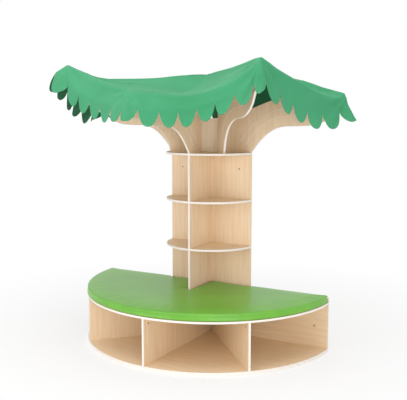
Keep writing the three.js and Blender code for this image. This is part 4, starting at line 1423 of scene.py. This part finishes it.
def cloth_places(grid):
    """Where each point lies on the flat cloth, in metres: along the rim, and down from the middle."""
    rim = grid[RIM_ROW]
    steps = np.linalg.norm(np.roll(rim, -1, axis=0) - rim, axis=1)
    along = np.concatenate([[0], np.cumsum(steps)])
    lengths = np.cumsum(np.linalg.norm(np.diff(grid, axis=0), axis=2), axis=0)
    return along, np.concatenate([np.zeros((1, grid.shape[1])), lengths])


def make_crown_mesh(settings, material):
    """The cloth crown as one sheet without thickness.

    Returns it, the points of its edge, those of the second row above it, and its area.
    """
    crown = ClothCrown(settings)
    grid = crown.grid()
    along, down = cloth_places(grid)
    folds = settings.fan_fold * fan_folds(along, down - down[RIM_ROW], crown.tip_columns)
    calm = [REAR_FOLD_SHARE if span is None else 1 for span, *_ in crown.columns]
    rows, columns = grid.shape[:2]
    vertices = [crown.middle] + [p for row in grid for p in row]
    faces = [(0, 1 + i, 1 + (i + 1) % columns) for i in range(columns)]
    for row in range(rows - 1):
        for i in range(columns):
            a, b = 1 + row * columns + i, 1 + row * columns + (i + 1) % columns
            faces += [(a, a + columns, b + columns), (a, b + columns, b)]
    piece = mesh_piece("canopy_cover", vertices, faces, material)
    mesh = piece.data
    normals = np.array([v.normal for v in mesh.vertices])
    places = np.array([v.co for v in mesh.vertices])
    for i in range(1, len(places)):
        row, column = divmod(i - 1, columns)
        strength = min(1.0, MIDDLE_FOLD_SHARE + row / rows)
        fold = wrinkles(places[i], strength, settings.wrinkle) + folds[row, column]
        places[i] += normals[i] * fold * calm[column]
    mesh.vertices.foreach_set("co", places.ravel())
    add_cloth_map(mesh, along, down, columns)
    area = sum(p.area for p in mesh.polygons)
    edge, above = (places[1 + row * columns :][:columns] for row in (rows - 1, rows - 3))
    return piece, edge, above, area


MIDDLE_POINT_V = -0.03


def add_cloth_map(mesh, along, down, columns):
    """A UV map in metres: along the rim, and down from the middle."""
    cloth_map = mesh.uv_layers.new(name=CLOTH_MAP)
    for polygon in mesh.polygons:
        corners = [mesh.loops[i].vertex_index for i in polygon.loop_indices]
        places = [(v - 1) % columns for v in corners if v > 0]
        wraps = max(places) - min(places) > columns / 2
        for loop_index, vertex in zip(polygon.loop_indices, corners):
            if vertex == 0:
                u, v = along[min(places)], MIDDLE_POINT_V
            else:
                column, row = (vertex - 1) % columns, (vertex - 1) // columns
                u = along[-1] if wraps and column == 0 else along[column]
                v = down[row][column]
            cloth_map.data[loop_index].uv = (u, v)


class BOOKSHELF_OT_make_canopy(bpy.types.Operator):
    """Make the cloth crown with its petals and hem stitches"""

    bl_idname = "bookshelf.make_canopy"
    bl_label = "Make cloth crown"

    def execute(self, context):
        settings = context.scene.bookshelf_crown
        green = context.scene.bookshelf_finishes.cloth_colour
        (thread_green,) = shades(green, CLOTH_GREEN, ("2F8F62",))
        cloth, edge, above, area = make_crown_mesh(settings, make_crown_cloth(green))
        outer_count = len(cloth.data.vertices)
        thick = cloth.modifiers.new("cloth thickness", "SOLIDIFY")
        thick.thickness = settings.cloth_thickness
        thick.offset = -1
        thick.use_even_offset = False
        made_plain(cloth)
        inner_count = len(cloth.data.vertices) - outer_count
        # The inside shell is marked for its painted shade
        inner_face = cloth.data.attributes.new(PAINTED_INNER_SHADE, "FLOAT", "POINT")
        inner_face.data.foreach_set("value", [0.0] * outer_count + [1.0] * inner_count)
        cloth.data.shade_smooth()
        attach(cloth, BODY)
        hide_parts("canopy_cloth")
        seam = [Vector(point) for point in 0.5 * (edge + above)]
        stitches = run_tree(
            line_piece("canopy_hem_stitches", [[*seam, seam[0]]]),
            stitch_tree(),
            Pitch=HEM_STITCH_PITCH,
            Length=HEM_STITCH_LENGTH,
            Thickness=HEM_THREAD,
            Material=make_thread("green_hem_thread", thread_green),
        )
        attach(stitches, BODY)
        return {"FINISHED"}


# ---------------------------------------------------------------- stage


class StageSettings(bpy.types.PropertyGroup):
    """Camera and light."""

    camera_place: bpy.props.FloatVectorProperty(
        name="Camera place",
        description="Where the camera stands",
        default=(2.1576, -3.9433, 1.4146),
        unit="LENGTH",
    )
    camera_yaw: bpy.props.FloatProperty(
        name="Camera yaw",
        description="Turn of the view from straight back",
        default=math.radians(29.36),
        subtype="ANGLE",
    )
    camera_pitch: bpy.props.FloatProperty(
        name="Camera pitch",
        description="How far the camera looks down",
        default=math.radians(6.827),
        subtype="ANGLE",
    )
    camera_lens: bpy.props.FloatProperty(
        name="Lens", description="Focal length on a 36 mm sensor", default=62.15, subtype="DISTANCE_CAMERA"
    )
    room_light: bpy.props.FloatProperty(
        name="Room light", description="Strength of the even light", default=0.74
    )
    key_power: bpy.props.FloatProperty(
        name="Key power", description="Power of the main lamp", default=34.0, unit="POWER"
    )
    fill_power: bpy.props.FloatProperty(
        name="Fill power", description="Power of the second lamp", default=50.0, unit="POWER"
    )
    top_power: bpy.props.FloatProperty(
        name="Top power", description="Power of the lamp overhead", default=58.0, unit="POWER"
    )


# Each lamp's name, its place, the point that it is aimed at, the length of its side, and its setting
LAMPS = (
    ("key_lamp", (-1.6, -4.2, 1.5), (0, -0.2, 1.0), 2.2, "key_power"),
    ("fill_lamp", (2.9, -3.6, 0.9), (0, -0.2, 0.9), 2.4, "fill_power"),
    ("top_lamp", (0.4, -1.4, 4.4), (0, -0.3, 1.0), 3.0, "top_power"),
)
SENSOR_WIDTH = 36.0

# The floor is half a millimetre under the bench, so that their faces don't meet. It shines by
# SHADOW_GLOW up to SHADOW_NEAR from the middle, and is as white as the background from SHADOW_FAR on.
FLOOR_REACH = 30.0
FLOOR_DROP = 0.0005
PAPER_FIBRE = 0.025
SHADOW_NEAR, SHADOW_FAR, SHADOW_GLOW = 1.0, 2.6, 0.6


def add_lamp(name, place, target, size, power):
    """A square soft lamp aimed at a point."""
    data = bpy.data.lights.new(name, "AREA")
    data.shape = "SQUARE"
    data.size = size
    data.energy = power
    lamp = bpy.data.objects.new(name, data)
    lamp.location = place
    lamp.rotation_mode = "QUATERNION"
    lamp.rotation_quaternion = (Vector(target) - Vector(place)).to_track_quat("-Z", "Y")
    bpy.context.scene.collection.objects.link(lamp)


def seen_directly(tree):
    """1 for what the camera, a mirror or glass sees, and 0 for light on the object."""
    path = add_node(tree, "ShaderNodeLightPath")
    first = add_node(
        tree,
        "ShaderNodeMath",
        {0: path.outputs["Is Camera Ray"], 1: path.outputs["Is Glossy Ray"]},
        operation="MAXIMUM",
    )
    both = add_node(
        tree,
        "ShaderNodeMath",
        {0: first.outputs[0], 1: path.outputs["Is Transmission Ray"]},
        operation="MAXIMUM",
    )
    return both.outputs[0]


def make_studio_floor():
    """Seamless white paper: matt, nearly as white as the background, and still darker under the object."""
    material, tree, shader = new_material("white_studio_paper", Roughness=1.0)
    place = add_node(tree, "ShaderNodeTexCoord").outputs["Object"]
    fibre = add_node(tree, "ShaderNodeTexNoise", {"Vector": place, "Scale": 1 / PAPER_FIBRE})
    paper = add_node(
        tree, "ShaderNodeValToRGB", {"Fac": fibre.outputs["Fac"]}, steps=[(0.3, "F5F5F5"), (0.7, "F8F8F8")]
    )
    tree.links.new(paper.outputs["Color"], shader.inputs["Base Color"])
    glow = add_node(tree, "ShaderNodeEmission", {"Color": linear("FFFFFF"), "Strength": 1.0})
    distance = add_node(tree, "ShaderNodeVectorMath", {0: place}, operation="LENGTH")
    fade = add_node(
        tree,
        "ShaderNodeMapRange",
        {
            "Value": distance.outputs["Value"],
            "From Min": SHADOW_NEAR,
            "From Max": SHADOW_FAR,
            "To Min": SHADOW_GLOW,
            "To Max": 1.0,
        },
        interpolation_type="SMOOTHSTEP",
    )
    share = add_node(
        tree, "ShaderNodeMath", {0: seen_directly(tree), 1: fade.outputs[0]}, operation="MULTIPLY"
    )
    mixed = add_node(
        tree,
        "ShaderNodeMixShader",
        {0: share.outputs[0], 1: shader.outputs[0], 2: glow.outputs[0]},
    )
    tree.links.new(mixed.outputs[0], tree.nodes["Material Output"].inputs["Surface"])
    return material


class BOOKSHELF_OT_set_stage(bpy.types.Operator):
    """Make the floor, the light and the camera"""

    bl_idname = "bookshelf.set_stage"
    bl_label = "Set stage"

    def execute(self, context):
        scene, settings = context.scene, context.scene.bookshelf_stage
        corners = ((-1, -1), (1, -1), (1, 1), (-1, 1))
        floor = mesh_piece(
            "studio_floor",
            [(x * FLOOR_REACH, y * FLOOR_REACH, -FLOOR_DROP) for x, y in corners],
            [(0, 1, 2, 3)],
            make_studio_floor(),
        )

        world = bpy.data.worlds.new("studio")
        world.use_nodes = True
        scene.world = world
        tree = world.node_tree
        background = tree.nodes["Background"]
        background.inputs["Color"].default_value = (1, 1, 1, 1)
        strength = add_node(
            tree,
            "ShaderNodeMapRange",
            {"Value": seen_directly(tree), "To Min": settings.room_light, "To Max": 1.0},
        )
        tree.links.new(strength.outputs[0], background.inputs["Strength"])

        for name, place, target, size, power in LAMPS:
            add_lamp(name, place, target, size, getattr(settings, power))

        data = bpy.data.cameras.new("camera")
        data.sensor_width = SENSOR_WIDTH
        data.lens = settings.camera_lens
        camera = bpy.data.objects.new("camera", data)
        camera.location = settings.camera_place
        camera.rotation_euler = (math.pi / 2 - settings.camera_pitch, 0, settings.camera_yaw)
        scene.collection.objects.link(camera)
        scene.camera = camera
        scene.view_settings.view_transform = "Standard"
        return {"FINISHED"}


# ---------------------------------------------------------------- panel and registration


class BOOKSHELF_PT_tools(bpy.types.Panel):
    """The bookshelf's tools and sizes"""

    bl_idname = "BOOKSHELF_PT_tools"
    bl_label = "Bookshelf"
    bl_space_type = "VIEW_3D"
    bl_region_type = "UI"
    bl_category = "Bookshelf"

    def draw(self, context):
        for group in GROUPS:
            settings = getattr(context.scene, group)
            for name in settings.__annotations__:
                self.layout.prop(settings, name)
        for operator in OPERATORS:
            self.layout.operator(operator.bl_idname)


GROUPS = {
    "bookshelf_finishes": FinishSettings,
    "bookshelf_fittings": FittingSettings,
    "bookshelf_cushion": CushionSettings,
    "bookshelf_crown": CrownSettings,
    "bookshelf_stage": StageSettings,
}
OPERATORS = (
    BOOKSHELF_OT_finish_boards,
    BOOKSHELF_OT_make_cams,
    BOOKSHELF_OT_make_arch_lines,
    BOOKSHELF_OT_make_cushion,
    BOOKSHELF_OT_make_canopy,
    BOOKSHELF_OT_set_stage,
)


def register():
    for group in GROUPS.values():
        bpy.utils.register_class(group)
    for operator in OPERATORS:
        bpy.utils.register_class(operator)
    bpy.utils.register_class(BOOKSHELF_PT_tools)
    for name, group in GROUPS.items():
        setattr(bpy.types.Scene, name, bpy.props.PointerProperty(type=group))


def unregister():
    for name in GROUPS:
        delattr(bpy.types.Scene, name)
    bpy.utils.unregister_class(BOOKSHELF_PT_tools)
    for operator in reversed(OPERATORS):
        bpy.utils.unregister_class(operator)
    for group in reversed(list(GROUPS.values())):
        bpy.utils.unregister_class(group)


def main():
    """Makes the whole bookshelf."""
    register()
    bpy.ops.bookshelf.finish_boards()
    bpy.ops.bookshelf.make_cams()
    bpy.ops.bookshelf.make_arch_lines()
    bpy.ops.bookshelf.make_cushion()
    bpy.ops.bookshelf.make_canopy()
    bpy.ops.bookshelf.set_stage()
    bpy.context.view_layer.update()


if __name__ == "__main__":
    main()
